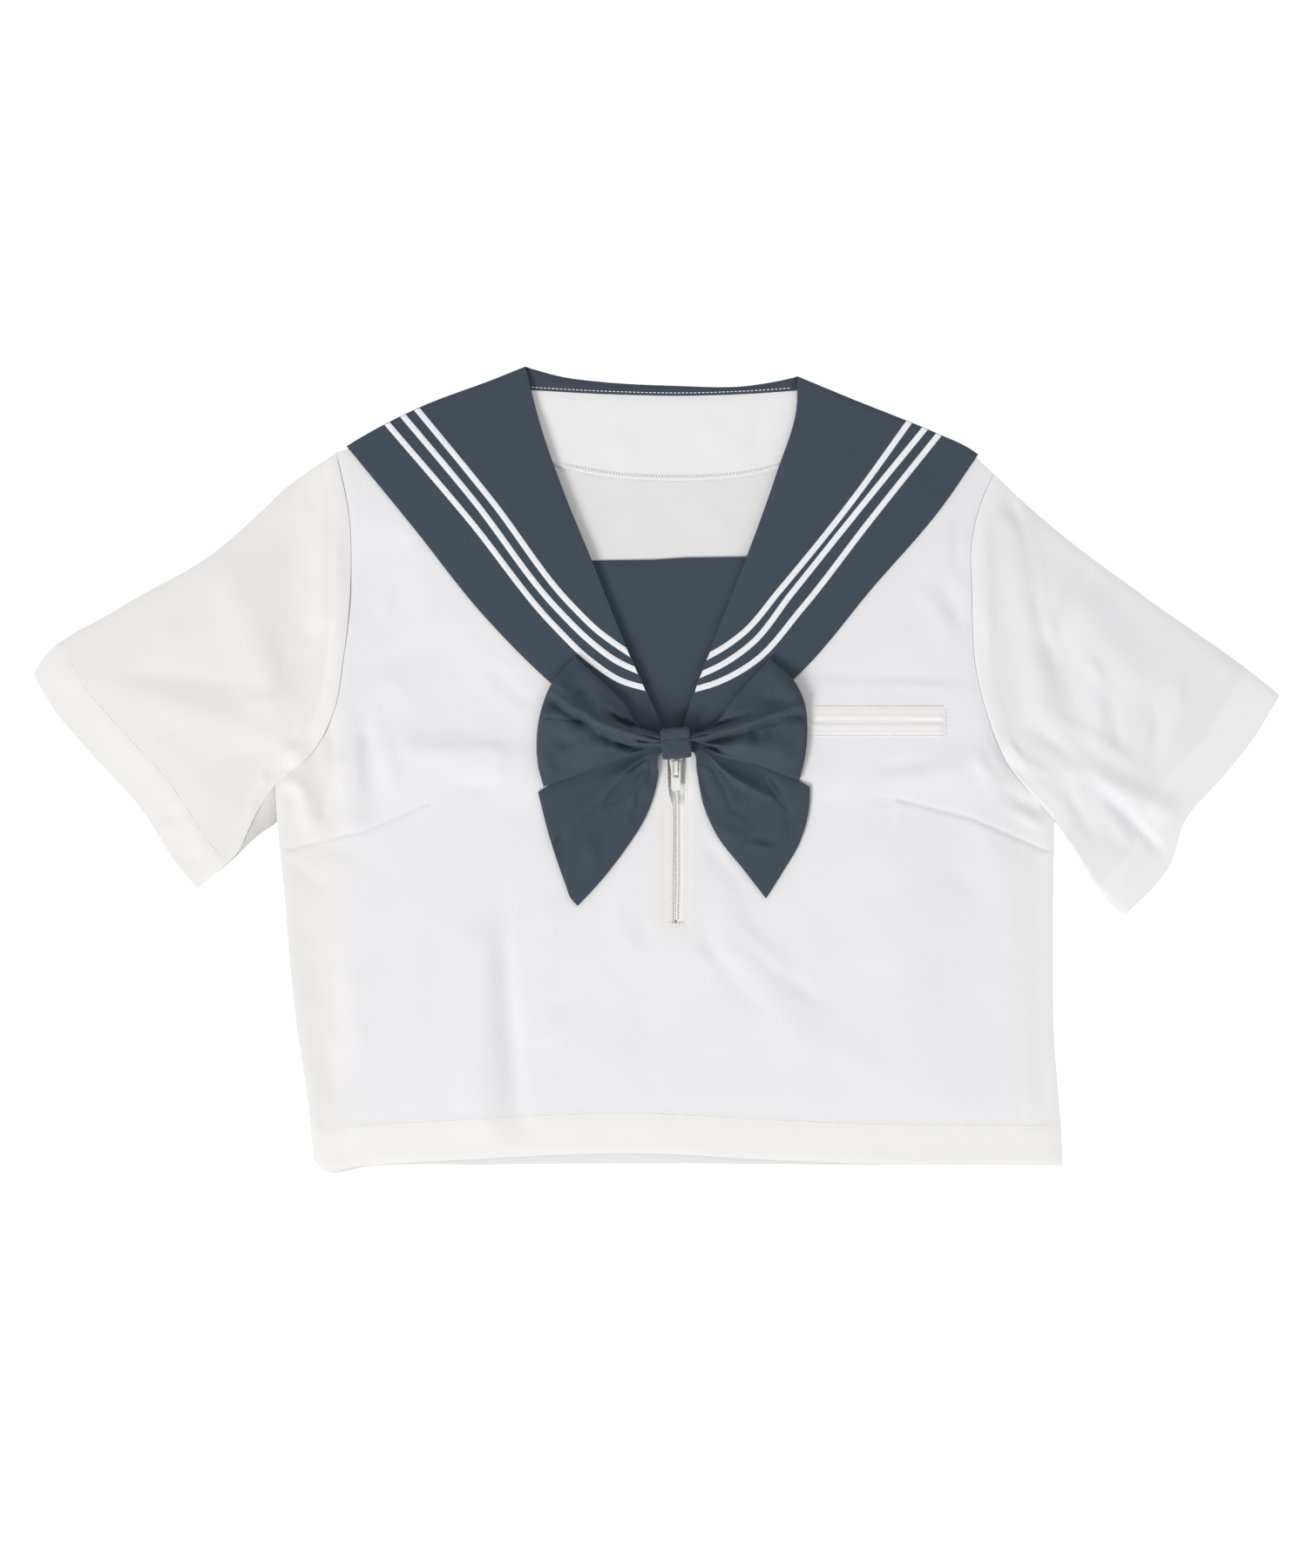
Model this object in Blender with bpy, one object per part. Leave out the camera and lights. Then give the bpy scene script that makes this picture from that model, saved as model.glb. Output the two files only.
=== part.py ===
"""A short sailor uniform blouse with its bow, laid flat and face up.

x runs across the garment (+x is the wearer's left), y from hem to neck, z up from
the surface it lies on. All sizes are in millimetres until solid() turns them to metres.
The origin is the middle of the garment on that surface.
"""

import math
from collections import namedtuple

import bmesh
import bpy
import numpy as np
from mathutils.geometry import delaunay_2d_cdt

MM = 0.001

# Cloth and how it is layered
CLOTH = 1.0
COLLAR_CLOTH = 1.2
SEAM_GAP = 0.3
STACK_GAP = 0.45
INLAY_ROOM = 1.6
HEM_EXTRA = 0.4
HEM_DEPTH = 26.0
CUFF_DEPTH = 25.0
HEM_STEP = 1.0
LOFT = 1.5
LOFT_REACH = 45.0
COVER_MARGIN = 12.0
COVER_RAMP = 28.0
SHOULDER_INSET = 2.2

# Collar: how far its seam lies under the rolled edge, and how wide the tapes are
ROLL_DEPTH = 3.0
FOLD_ROUND = 1.1
TAPE_WIDTH = 3.4
TAPE_THICK = 1.0
TAPE_GAP = 0.25
TAPE_INSET = 0.4

# Zip
ZIP_X = 11.8
ZIP_TOP_Y = 12.0
ZIP_END_Y = -95.0
ZIP_TAPE_WIDTH = 11.0
ZIP_TAPE_GAP = 0.3
ZIP_PARTED = 4.8
COIL_WIDTH = 4.0
COIL_HEIGHT = 1.4
COIL_TOP_Y = -3.0
SLIDER_TOP_Y = 8.0
SLIDER_END_Y = -4.0
SLIDER_WIDTH = 8.0
SLIDER_NOSE = 5.2
PLATE_THICK = 0.8
POST_WIDTH = 2.2
PULL_PIVOT_Y = 3.4
PULL_LENGTH = 17.4
PULL_WIDTH = 5.8
PULL_THICK = 1.0
PULL_WINDOW = 3.5
PULL_WINDOW_LENGTH = 8.4
CROWN_WIDTH = 2.3
CROWN_THICK = 0.8
CROWN_TOP_Y = 5.5
CROWN_END_Y = -3.0
CROWN_CLEAR = 1.9

# Bow
BOW_CLOTH = 1.0
KNOT_X = 11.8
KNOT_Y = 15.5
KNOT_WIDTH = 17.9
KNOT_DEPTH = 18.8
KNOT_HEIGHT = 10.6
KNOT_WALL = 1.2
KNOT_TILT = math.radians(5.0)
KNOT_SQUARENESS = 0.36
KNOT_APPROACH = 12.0
LOOP_AIR = 0.5
LOOP_PUFF_KNOT = 2.3
LOOP_PUFF_MIDDLE = 7.5
LOOP_PUFF_END = 3.0

# Edges of the cut pieces as they lie. "right" is the wearer's right, at -x.
EDGES = {
    "neck_top": (
        (-80.7, 247.4), (-56.6, 241.1), (-35.9, 238.5), (10.9, 235.9), (56.4, 235.9),
        (73.2, 238.5), (86.6, 241.4),
    ),
    "band_seam": ((-79.0, 233.3), (-28.0, 230.7), (17.4, 229.8), (66.7, 231.6), (86.0, 233.0)),
    "facing_hem": ((-98.0, 200.0), (-62.4, 186.5), (8.3, 177.4), (74.6, 184.7), (106.0, 198.0)),
    "shoulder_right": (
        (-80.7, 247.4), (-99.4, 239.9), (-147.3, 221.6), (-184.3, 202.3), (-190.6, 198.4),
    ),
    "shoulder_left": (
        (86.6, 241.4), (118.2, 228.3), (172.9, 206.1), (191.6, 197.5), (197.8, 193.4),
    ),
    "roll_right": (
        (3.5, 26.0), (-6.7, 48.7), (-21.4, 81.7), (-40.0, 128.5), (-56.5, 168.8),
        (-70.8, 209.3), (-80.7, 247.4),
    ),
    "roll_left": (
        (16.1, 26.9), (23.6, 49.4), (38.9, 88.2), (54.9, 129.2), (73.9, 182.2), (86.0, 222.0),
        (86.6, 241.4),
    ),
    "lapel_right": (
        (-190.6, 198.4), (-150.1, 149.0), (-106.4, 94.3), (-64.6, 52.3), (-47.4, 37.8),
        (-28.7, 28.6), (-11.0, 27.1),
    ),
    "lapel_left": (
        (197.8, 193.4), (174.7, 160.0), (133.7, 112.3), (83.8, 54.7), (67.8, 41.5),
        (51.7, 32.4), (37.5, 28.7),
    ),
    "armhole_right": (
        (-197.0, 194.8), (-188.9, 154.3), (-187.9, 120.0), (-192.9, 65.1),
        (-197.8, 37.3), (-206.7, 17.4), (-218.6, 3.0), (-235.6, -2.9),
    ),
    "armhole_left": (
        (207.2, 182.0), (198.6, 161.6), (193.8, 141.2), (193.8, 108.0),
        (197.0, 57.6), (204.0, 30.8), (215.2, 4.0), (245.2, -31.4),
    ),
    "back_armhole_right": (
        (-197.0, 194.8), (-195.0, 150.0), (-198.0, 100.0), (-208.0, 50.0), (-221.0, 5.0),
        (-234.0, -33.2),
    ),
    "back_armhole_left": (
        (207.2, 182.0), (203.0, 145.0), (204.0, 95.0), (212.0, 45.0), (226.0, 5.0),
        (245.2, -31.4),
    ),
    "side_right": (
        (-235.6, -2.9), (-233.8, -33.2), (-230.2, -69.9), (-223.4, -146.9), (-213.7, -216.8),
        (-211.5, -241.5),
    ),
    "side_left": (
        (245.2, -31.4), (244.3, -103.7), (244.9, -163.2), (249.2, -220.6), (250.3, -244.6),
    ),
    "front_hem": (
        (-211.5, -241.5), (-204.0, -247.6), (-186.8, -245.4), (-120.0, -241.0), (-7.2, -237.0),
        (70.0, -241.0), (147.0, -243.9), (250.3, -244.6),
    ),
    "back_hem": (
        (-211.5, -241.5), (-204.0, -248.3), (-178.0, -245.4), (-100.0, -244.2), (0.0, -243.4),
        (100.0, -244.2), (250.3, -244.6),
    ),
    "sleeve_fold_right": (
        (-197.0, 194.8), (-228.6, 173.1), (-246.4, 156.2), (-274.2, 132.4), (-331.7, 98.9),
        (-381.3, 63.5), (-384.0, 58.2),
    ),
    "sleeve_fold_left": (
        (207.2, 182.0), (216.3, 173.4), (247.0, 146.6), (304.4, 103.6), (371.4, 55.7),
        (384.0, 45.3),
    ),
    "cuff_right": (
        (-384.0, 58.2), (-373.3, 39.4), (-348.7, 9.5), (-318.8, -23.2), (-294.0, -60.8),
        (-283.1, -73.7),
    ),
    "cuff_left": (
        (384.0, 45.3), (367.6, 18.5), (350.3, -3.5), (325.5, -32.4), (315.9, -60.1),
        (289.1, -90.3),
    ),
    "under_front_right": (
        (-235.6, -2.9), (-246.4, -16.3), (-251.4, -30.1), (-255.4, -47.0), (-264.2, -57.0),
        (-283.1, -73.7),
    ),
    "under_back_right": ((-234.0, -33.2), (-245.4, -41.0), (-264.2, -58.9), (-283.1, -73.7)),
    "under_left": ((245.2, -31.4), (258.5, -52.3), (273.8, -76.4), (284.3, -87.6), (289.1, -90.3)),
    "loop_top_right": (
        (8.8, 20.6), (2.3, 21.7), (-12.3, 28.0), (-18.7, 39.6), (-31.5, 51.7), (-50.0, 68.6),
    ),
    "loop_top_left": (
        (14.8, 20.6), (21.2, 22.2), (38.3, 30.5), (44.2, 38.9), (56.3, 53.2), (69.4, 67.4),
    ),
    "loop_end_right": (
        (-50.0, 68.6), (-63.8, 53.2), (-70.6, 36.7), (-73.7, 15.5), (-72.9, 2.8),
        (-69.5, -11.0),
    ),
    "loop_end_left": (
        (69.4, 67.4), (84.2, 53.9), (90.9, 39.6), (92.5, 24.6), (90.2, 2.8), (87.5, -7.4),
    ),
    "loop_base_right": ((8.8, 11.4), (2.1, 13.1), (-20.9, 6.0), (-51.7, -4.8), (-69.5, -11.0)),
    "loop_base_left": ((14.8, 11.8), (22.5, 13.6), (40.5, 7.2), (62.3, 2.0), (87.5, -7.4)),
    "tail_top_right": ((9.5, 15.0), (-2.0, 15.0), (-22.0, 9.6), (-50.0, -1.0), (-72.9, -14.2)),
    "tail_top_left": ((14.4, 15.5), (25.0, 15.6), (45.0, 10.0), (70.0, 3.0), (94.3, -11.3)),
    "tail_end_right": (
        (-72.9, -14.2), (-66.8, -38.6), (-56.1, -70.9), (-52.5, -80.1), (-48.5, -84.4),
    ),
    "tail_end_left": ((94.3, -11.3), (93.9, -22.8), (87.8, -45.8), (77.0, -64.4), (67.3, -79.9)),
    "tail_base_right": (
        (9.5, 10.4), (2.0, 9.4), (1.0, -4.6), (-6.5, -29.2), (-19.5, -50.1), (-41.0, -76.6),
        (-48.5, -84.4),
    ),
    "tail_base_left": (
        (14.4, 10.2), (22.3, 10.2), (24.7, -1.9), (28.9, -22.8), (36.1, -39.3), (54.8, -63.7),
        (67.3, -79.9),
    ),
    "slot_right": ((6.6, 20.0), (6.8, 4.0), (7.0, -8.0), (8.2, -20.0), (8.4, -60.0), (8.2, -95.0)),
    "slot_left": (
        (18.6, 20.0), (18.4, 4.0), (17.6, -9.0), (17.0, -23.0), (17.2, -60.0), (16.6, -95.0),
    ),
}

# Underarm edges of each sleeve's front and back layer
UNDERARMS = {"right": ("under_front_right", "under_back_right"), "left": ("under_left", "under_left")}

# Lower corners of the collar's back flap, which lies hidden under the garment
FLAP_CORNERS = ((186.0, 10.0), (-176.0, 10.0))

# Centre lines of the tapes on the collar, past the shoulder and the rolled edge where they are cut
TAPES = {
    "outer_right": (
        (-169.9, 217.2), (-115.2, 153.1), (-62.6, 87.5), (-39.8, 65.7), (-22.5, 54.4),
        (-3.0, 48.5),
    ),
    "middle_right": (
        (-160.3, 222.3), (-111.8, 164.1), (-61.2, 98.4), (-37.5, 75.5), (-26.0, 67.0),
        (-7.0, 58.0),
    ),
    "inner_right": (
        (-151.1, 225.7), (-100.9, 164.1), (-53.0, 101.2), (-34.9, 83.7), (-23.5, 75.4),
        (-13.0, 68.5),
    ),
    "outer_left": (
        (177.4, 210.4), (130.3, 151.4), (89.2, 98.4), (59.3, 65.2), (36.7, 52.8), (18.0, 47.4),
    ),
    "middle_left": (
        (168.9, 214.0), (123.4, 158.2), (82.4, 107.0), (58.0, 76.5), (42.0, 65.0),
        (22.0, 55.5),
    ),
    "inner_left": (
        (158.8, 218.1), (116.6, 160.0), (75.6, 109.5), (53.0, 83.2), (42.0, 75.0),
        (27.0, 66.5),
    ),
}

# Chest insert, neck facing ends, pocket opening and its two welts
INSERT = ((-56.0, 128.0), (-2.0, 128.7), (18.7, 130.0), (72.0, 130.8), (28.0, 17.0), (-5.0, 17.0))
FACING_ENDS = ((104.0, 228.0), (-96.0, 234.0))
POCKET_OPENING = ((84.0, 27.0), (173.0, 27.0), (173.0, 31.0), (84.0, 31.0))
Welt = namedtuple("Welt", "name x0 x1 y_low y_high")
WELTS = (
    Welt("pocket_welt_upper", 80.0, 176.5, 29.2, 38.6),
    Welt("pocket_welt_lower", 80.0, 176.5, 19.6, 28.9),
)

# The main folds of the upper layer: a soft ridge, or a trough where the height is below zero
Fold = namedtuple("Fold", "name x0 y0 x1 y1 height reach")
FOLDS = (
    Fold("cap_right", -201, 165, -206, 95, 1.6, 9),
    Fold("cap_trough_right", -226, 150, -222, 70, -1.1, 10),
    Fold("sleeve_long_right", -262, 120, -236, 45, 1.5, 14),
    Fold("sleeve_low_right", -300, 40, -235, 20, 1.4, 12),
    Fold("underarm_pull_right", -222, 10, -214, -30, 1.8, 8),
    Fold("underarm_second_right", -192, 2, -187, -32, 1.4, 8),
    Fold("chest_diagonal_right", -160, 55, -128, 100, 1.3, 12),
    Fold("chest_cross_right", -150, 12, -100, 4, 1.4, 9),
    Fold("side_trough_right", -208, -75, -200, -190, -1.0, 11),
    Fold("hem_trough_right", -92, -120, -86, -215, -1.2, 11),
    Fold("hem_ridge_right", -112, -110, -108, -215, 1.2, 14),
    Fold("zip_pull_right", -30, -115, -60, -165, 1.1, 10),
    Fold("zip_pull_left", 52, -115, 90, -165, 1.1, 12),
    Fold("cap_left", 222, 148, 238, 40, 1.8, 10),
    Fold("cap_trough_left", 242, 95, 262, 20, -1.2, 9),
    Fold("sleeve_middle_left", 292, 60, 262, 100, 1.4, 13),
    Fold("cuff_ridge_left", 262, -2, 318, -28, 2.2, 8),
    Fold("cuff_trough_left", 268, -28, 312, -56, -1.4, 9),
    Fold("chest_cross_left", 160, -4, 205, 6, 1.0, 9),
    Fold("side_ridge_left", 222, -60, 226, -205, 1.1, 12),
    Fold("belly_left", 150, -60, 165, -190, 1.3, 26),
)

# Bow pleats: across is 0 at a piece's upper edge and 1 at the lower one, out is how far they run
Pleat = namedtuple("Pleat", "across_knot across_end out height width")
LOOP_PLEATS = {
    "right": (
        Pleat(0.22, 0.16, 0.50, -2.2, 0.07),
        Pleat(0.45, 0.46, 1.00, -3.4, 0.08),
        Pleat(0.66, 0.68, 0.50, -2.0, 0.06),
        Pleat(0.86, 0.90, 0.60, -1.8, 0.06),
    ),
    "left": (
        Pleat(0.18, 0.12, 0.50, -2.2, 0.06),
        Pleat(0.40, 0.40, 1.00, -3.2, 0.08),
        Pleat(0.62, 0.60, 0.50, -2.0, 0.06),
        Pleat(0.82, 0.84, 0.65, -2.0, 0.06),
    ),
}
TAIL_PLEATS = {
    "right": (Pleat(0.55, 0.40, 0.80, 1.8, 0.10), Pleat(0.82, 0.78, 0.55, 1.3, 0.08)),
    "left": (Pleat(0.42, 0.30, 0.70, 1.8, 0.09), Pleat(0.75, 0.62, 0.60, 1.6, 0.10)),
}

WHITE_CLOTH = ("white_cloth", (0.86, 0.86, 0.85), 0.85)
SLATE_CLOTH = ("slate_cloth", (0.070, 0.092, 0.115), 0.85)
WHITE_TAPE = ("white_tape", (0.84, 0.85, 0.88), 0.7)
WHITE_NYLON = ("white_nylon", (0.85, 0.86, 0.84), 0.4)
WHITE_ENAMEL = ("white_enamel", (0.84, 0.85, 0.83), 0.3)


def smoothstep(t):
    t = np.clip(t, 0.0, 1.0)
    return t * t * (3.0 - 2.0 * t)


def curve(points, per_span=24):
    """A fine line of points on a smooth curve through the given ones."""
    p = np.array(points, float)
    t = np.concatenate([[0.0], np.cumsum(np.linalg.norm(np.diff(p, axis=0), axis=1))])
    slope = np.gradient(p, t, axis=0)
    fine = [p[:1]]
    for i in range(len(p) - 1):
        s = np.linspace(0.0, 1.0, per_span + 1)[1:, None]
        span = t[i + 1] - t[i]
        fine.append(
            (2 * s**3 - 3 * s**2 + 1) * p[i]
            + (s**3 - 2 * s**2 + s) * span * slope[i]
            + (3 * s**2 - 2 * s**3) * p[i + 1]
            + (s**3 - s**2) * span * slope[i + 1]
        )
    return np.concatenate(fine)


def length_along(line):
    return np.concatenate([[0.0], np.cumsum(np.linalg.norm(np.diff(line, axis=0), axis=1))])


def at_shares(line, shares):
    """Points of a line at these shares of its length."""
    run = length_along(line)
    wanted = np.asarray(shares) * run[-1]
    return np.stack([np.interp(wanted, run, line[:, k]) for k in range(2)], axis=1)


def edge(name, count, start=0.0, end=1.0):
    """Evenly spaced points of a named edge, or of the part between two shares of it."""
    return at_shares(curve(EDGES[name]), np.linspace(start, end, count))


def moved(line, towards, distance):
    """A line in plan moved sideways, to the side where the point towards lies."""
    run = np.gradient(line, axis=0)
    run /= np.linalg.norm(run, axis=1, keepdims=True)
    normal = np.stack([-run[:, 1], run[:, 0]], axis=1)
    side = np.sign(np.sum(normal * (np.asarray(towards) - line), axis=1, keepdims=True))
    return line + normal * side * distance


def distance_to(points, outline):
    """Distance from each point to a closed outline, below zero inside it."""
    p = np.asarray(points, float).reshape(-1, 1, 2)
    a = np.asarray(outline, float)
    b = np.roll(a, -1, axis=0)
    run = b - a
    share = np.clip(np.sum((p - a) * run, axis=2) / np.maximum(np.sum(run * run, axis=1), 1e-9), 0.0, 1.0)
    gap = np.linalg.norm(p - (a + share[:, :, None] * run), axis=2).min(axis=1)
    above = (a[:, 1] > p[:, :, 1]) != (b[:, 1] > p[:, :, 1])
    crossing = a[:, 0] + (p[:, :, 1] - a[:, 1]) * run[:, 0] / np.where(run[:, 1] == 0, 1e-9, run[:, 1])
    inside = (np.sum(above & (p[:, :, 0] < crossing), axis=1) % 2) == 1
    return np.where(inside, -gap, gap)


def turned(x, y):
    """A point given from the middle of the knot, turned with it."""
    c, s = math.cos(KNOT_TILT), math.sin(KNOT_TILT)
    return (KNOT_X + c * x - s * y, KNOT_Y + s * x + c * y)


GARMENT_OUTLINE = np.concatenate(
    [
        edge("neck_top", 10), edge("shoulder_left", 10), edge("sleeve_fold_left", 10),
        edge("cuff_left", 10), edge("under_left", 8)[::-1], edge("side_left", 8),
        edge("back_hem", 12)[::-1], edge("side_right", 8)[::-1],
        edge("under_back_right", 8), edge("cuff_right", 10)[::-1], edge("sleeve_fold_right", 10)[::-1],
        edge("shoulder_right", 10)[::-1],
    ]
)
COLLAR_OUTLINE = np.concatenate(
    [
        edge("neck_top", 10), edge("shoulder_left", 10), edge("lapel_left", 12),
        edge("lapel_right", 12)[::-1], edge("shoulder_right", 10)[::-1],
    ]
)
FLAP_OUTLINE = np.concatenate(
    [edge("neck_top", 8), edge("shoulder_left", 6), np.array(FLAP_CORNERS), edge("shoulder_right", 6)[::-1]]
)
LAPEL_OUTLINES = {
    side: np.concatenate(
        [edge("shoulder_" + side, 12), edge("lapel_" + side, 16)[1:], edge("roll_" + side, 16)[:-1]]
    )
    for side in ("right", "left")
}
ZIP_OUTLINE = np.array(
    [
        (ZIP_X + across * (ZIP_TAPE_WIDTH + 1.0), along)
        for across, along in ((-1, ZIP_TOP_Y), (1, ZIP_TOP_Y), (1, ZIP_END_Y - 4.0), (-1, ZIP_END_Y - 4.0))
    ]
)
KNOT_OUTLINE = np.array(
    [turned(a * KNOT_WIDTH / 2, b * KNOT_DEPTH / 2) for a, b in ((-1, -1), (1, -1), (1, 1), (-1, 1))]
)


def cover(points, outline):
    """1 over an outline and a little past it, falling smoothly to 0 further out."""
    return smoothstep(1.0 - (distance_to(points, outline) - COVER_MARGIN) / COVER_RAMP)


def fold_height(points):
    """The main folds, fading out under the collar and at the garment's outer edge."""
    p = np.asarray(points, float).reshape(-1, 2)
    total = np.zeros(len(p))
    for fold in FOLDS:
        a, b = np.array([fold.x0, fold.y0], float), np.array([fold.x1, fold.y1], float)
        run = b - a
        share = np.clip((p - a) @ run / (run @ run), 0.0, 1.0)
        gap = np.linalg.norm(p - (a + share[:, None] * run), axis=1)
        total += fold.height * np.exp(-((gap / fold.reach) ** 2))
    inside = smoothstep(-distance_to(p, GARMENT_OUTLINE) / 20.0)
    return total * inside * (1.0 - cover(p, COLLAR_OUTLINE))


def back_bottom(points):
    """The underside of the back layer: it lies on the surface, and over the collar's flap."""
    return cover(points, FLAP_OUTLINE) * (COLLAR_CLOTH + SEAM_GAP)


def back_top(points):
    return back_bottom(points) + CLOTH


def inlay_bottom(points):
    """The underside of what lies between back and front: facing, insert and zip tapes."""
    return back_top(points) + SEAM_GAP


def inlay_top(points):
    return inlay_bottom(points) + CLOTH


def front_bottom(points):
    """The underside of the front layer, with room for the inlay and some air under it."""
    room = np.maximum(cover(points, COLLAR_OUTLINE), cover(points, ZIP_OUTLINE)) * INLAY_ROOM
    loft = LOFT * smoothstep(-distance_to(points, GARMENT_OUTLINE) / LOFT_REACH)
    return back_top(points) + SEAM_GAP + room + np.maximum(loft + fold_height(points), 0.0)


def front_top(points):
    return front_bottom(points) + CLOTH


def lapel_bottom(points):
    return front_top(points) + STACK_GAP


def lapel_top(points):
    return lapel_bottom(points) + COLLAR_CLOTH


def band_top(points):
    return inlay_bottom(points) + COLLAR_CLOTH


def flap_outside(points):
    return np.zeros(len(points))


def flap_inside(points):
    return np.full(len(points), COLLAR_CLOTH)


def bow_rest(points):
    """What the bow lies on: the front, and the collar where it is near."""
    return front_top(points) + STACK_GAP + cover(points, COLLAR_OUTLINE) * (COLLAR_CLOTH + STACK_GAP)


def knot_bottom():
    return float(bow_rest(np.vstack([KNOT_OUTLINE, [(KNOT_X, KNOT_Y)]])).max())


def bow_level(points, layers):
    """The underside of a bow piece with some cloth layers below it, raised where it enters the knot."""
    near = smoothstep(1.0 - (distance_to(points, KNOT_OUTLINE) - 1.0) / KNOT_APPROACH)
    stack = layers * (BOW_CLOTH + SEAM_GAP)
    return (1.0 - near) * bow_rest(points) + near * (knot_bottom() + KNOT_WALL + SEAM_GAP) + stack


def with_hem(height, hem_name):
    """A top surface raised where the cloth is turned up along the hem."""
    hem = curve(EDGES[hem_name])

    def raised(points):
        below = np.interp(points[:, 0], hem[:, 0], hem[:, 1]) + HEM_DEPTH - points[:, 1]
        return height(points) + HEM_EXTRA * smoothstep((below - 0.2) / (HEM_STEP - 0.4))

    return raised


def material(kind):
    name, colour, roughness = kind
    found = bpy.data.materials.get(name)
    if found:
        return found
    made = bpy.data.materials.new(name)
    made.use_nodes = True
    shader = made.node_tree.nodes["Principled BSDF"]
    shader.inputs["Base Color"].default_value = (*colour, 1.0)
    shader.inputs["Roughness"].default_value = roughness
    return made


def solid(name, points, faces, kind, origin=(0.0, 0.0, 0.0)):
    """One named object from points in millimetres and faces that close."""
    mesh = bpy.data.meshes.new(name)
    mesh.from_pydata([tuple((np.asarray(p) - origin) * MM) for p in points], [], faces)
    form = bmesh.new()
    form.from_mesh(mesh)
    bmesh.ops.recalc_face_normals(form, faces=form.faces)
    if form.calc_volume(signed=True) < 0.0:
        bmesh.ops.reverse_faces(form, faces=form.faces)
    form.to_mesh(mesh)
    form.free()
    mesh.shade_smooth()
    mesh.set_sharp_from_angle(angle=math.radians(40.0))
    mesh.materials.append(material(kind))
    made = bpy.data.objects.new(name, mesh)
    made.location = np.asarray(origin) * MM
    bpy.context.scene.collection.objects.link(made)
    return made


def shell(name, outer, inner, faces, kind, origin=(0.0, 0.0, 0.0)):
    """A wall between two matching sets of points, closed round every open edge of its faces."""
    uses = {}
    for face in faces:
        for a, b in zip(face, face[1:] + face[:1]):
            uses.setdefault(frozenset((a, b)), []).append((a, b))
    count = len(outer)
    every = list(faces) + [tuple(count + k for k in reversed(face)) for face in faces]
    every += [(b, a, count + a, count + b) for way in uses.values() if len(way) == 1 for a, b in way]
    return solid(name, np.concatenate([outer, inner]), every, kind, origin)


def grid_faces(rows, columns, ring=False):
    """Quads of a grid of points. A ring also joins its last column to its first."""
    faces = []
    for row in range(0, (rows - 1) * columns, columns):
        for c in range(columns if ring else columns - 1):
            d = (c + 1) % columns
            faces.append((row + c, row + d, row + columns + d, row + columns + c))
    return faces


def lattice(outline, spacing):
    """Evenly staggered points inside an outline, clear of its edge."""
    low, high = outline.min(axis=0), outline.max(axis=0)
    step = spacing * math.sqrt(3.0) / 2.0
    rows = np.arange(math.floor(low[1] / step), math.ceil(high[1] / step) + 1)
    spots = []
    for row in rows:
        x = np.arange(math.floor(low[0] / spacing), math.ceil(high[0] / spacing) + 1) * spacing
        spots.append(np.stack([x + (row % 2) * spacing / 2.0, np.full(len(x), row * step)], axis=1))
    spots = np.concatenate(spots)
    return spots[distance_to(spots, outline) < -0.5 * spacing]


def divided(outline, spacing):
    """A closed outline with points added along its long straight runs."""
    points = []
    for a, b in zip(np.array(outline, float), np.roll(np.array(outline, float), -1, axis=0)):
        count = max(1, round(float(np.linalg.norm(b - a)) / spacing))
        points += [a + (b - a) * k / count for k in range(count)]
    return np.array(points)


def filled(outline, spacing, lines=(), opening=None):
    """Plan points and triangles that fill an outline, with edges along the given lines."""
    loops = [outline] if opening is None else [outline, divided(opening, 0.6 * spacing)]
    points, links = [], []
    for loop in loops:
        first = len(points)
        points += [tuple(p) for p in loop]
        links += [(first + k, first + (k + 1) % len(loop)) for k in range(len(loop))]
    for line in lines:
        first = len(points)
        points += [tuple(p) for p in line]
        links += [(first + k, first + k + 1) for k in range(len(line) - 1)]
    fixed = np.array(points)
    spots = lattice(outline, spacing)
    clear = np.linalg.norm(spots[:, None] - fixed[None], axis=2).min(axis=1) > 0.5 * spacing
    points += [tuple(p) for p in spots[clear]]
    found = delaunay_2d_cdt(points, links, [], 1, 1e-4)
    plan = np.array([tuple(p) for p in found[0]])
    faces = [tuple(face) for face in found[2]]
    if opening is not None:
        middles = np.array([plan[list(face)].mean(axis=0) for face in faces])
        faces = [face for face, gap in zip(faces, distance_to(middles, np.array(opening))) if gap > 0]
    return plan, faces


def lifted(plan, height):
    return np.c_[plan, height(plan)]


def sheet(name, outline, spacing, bottom, top, kind, lines=(), opening=None):
    """A cloth piece that fills an outline between two height functions."""
    plan, faces = filled(outline, spacing, lines, opening)
    return shell(name, lifted(plan, top), lifted(plan, bottom), faces, kind)


def hem_lines(hem_name, spacing):
    """The two lines close together where the turned-up hem ends."""
    hem = edge(hem_name, int(length_along(curve(EDGES[hem_name]))[-1] / spacing))[1:-1]
    return [hem + (0.0, HEM_DEPTH - HEM_STEP), hem + (0.0, HEM_DEPTH)]


def build_back():
    outline = np.concatenate(
        [
            moved(edge("neck_top", 10, 0.03, 0.97), (0, 0), SHOULDER_INSET),
            moved(edge("shoulder_left", 8, 0.04, 1.0), (0, 0), SHOULDER_INSET),
            edge("back_armhole_left", 14),
            edge("side_left", 10)[1:-1],
            edge("back_hem", 20)[::-1],
            edge("side_right", 10, 0.22, 1.0)[::-1][1:-1],
            edge("back_armhole_right", 14)[::-1],
            moved(edge("shoulder_right", 8, 0.04, 1.0), (0, 0), SHOULDER_INSET)[::-1],
        ]
    )
    return sheet("back_panel", outline, 24.0, back_bottom, back_top, WHITE_CLOTH)


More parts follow.
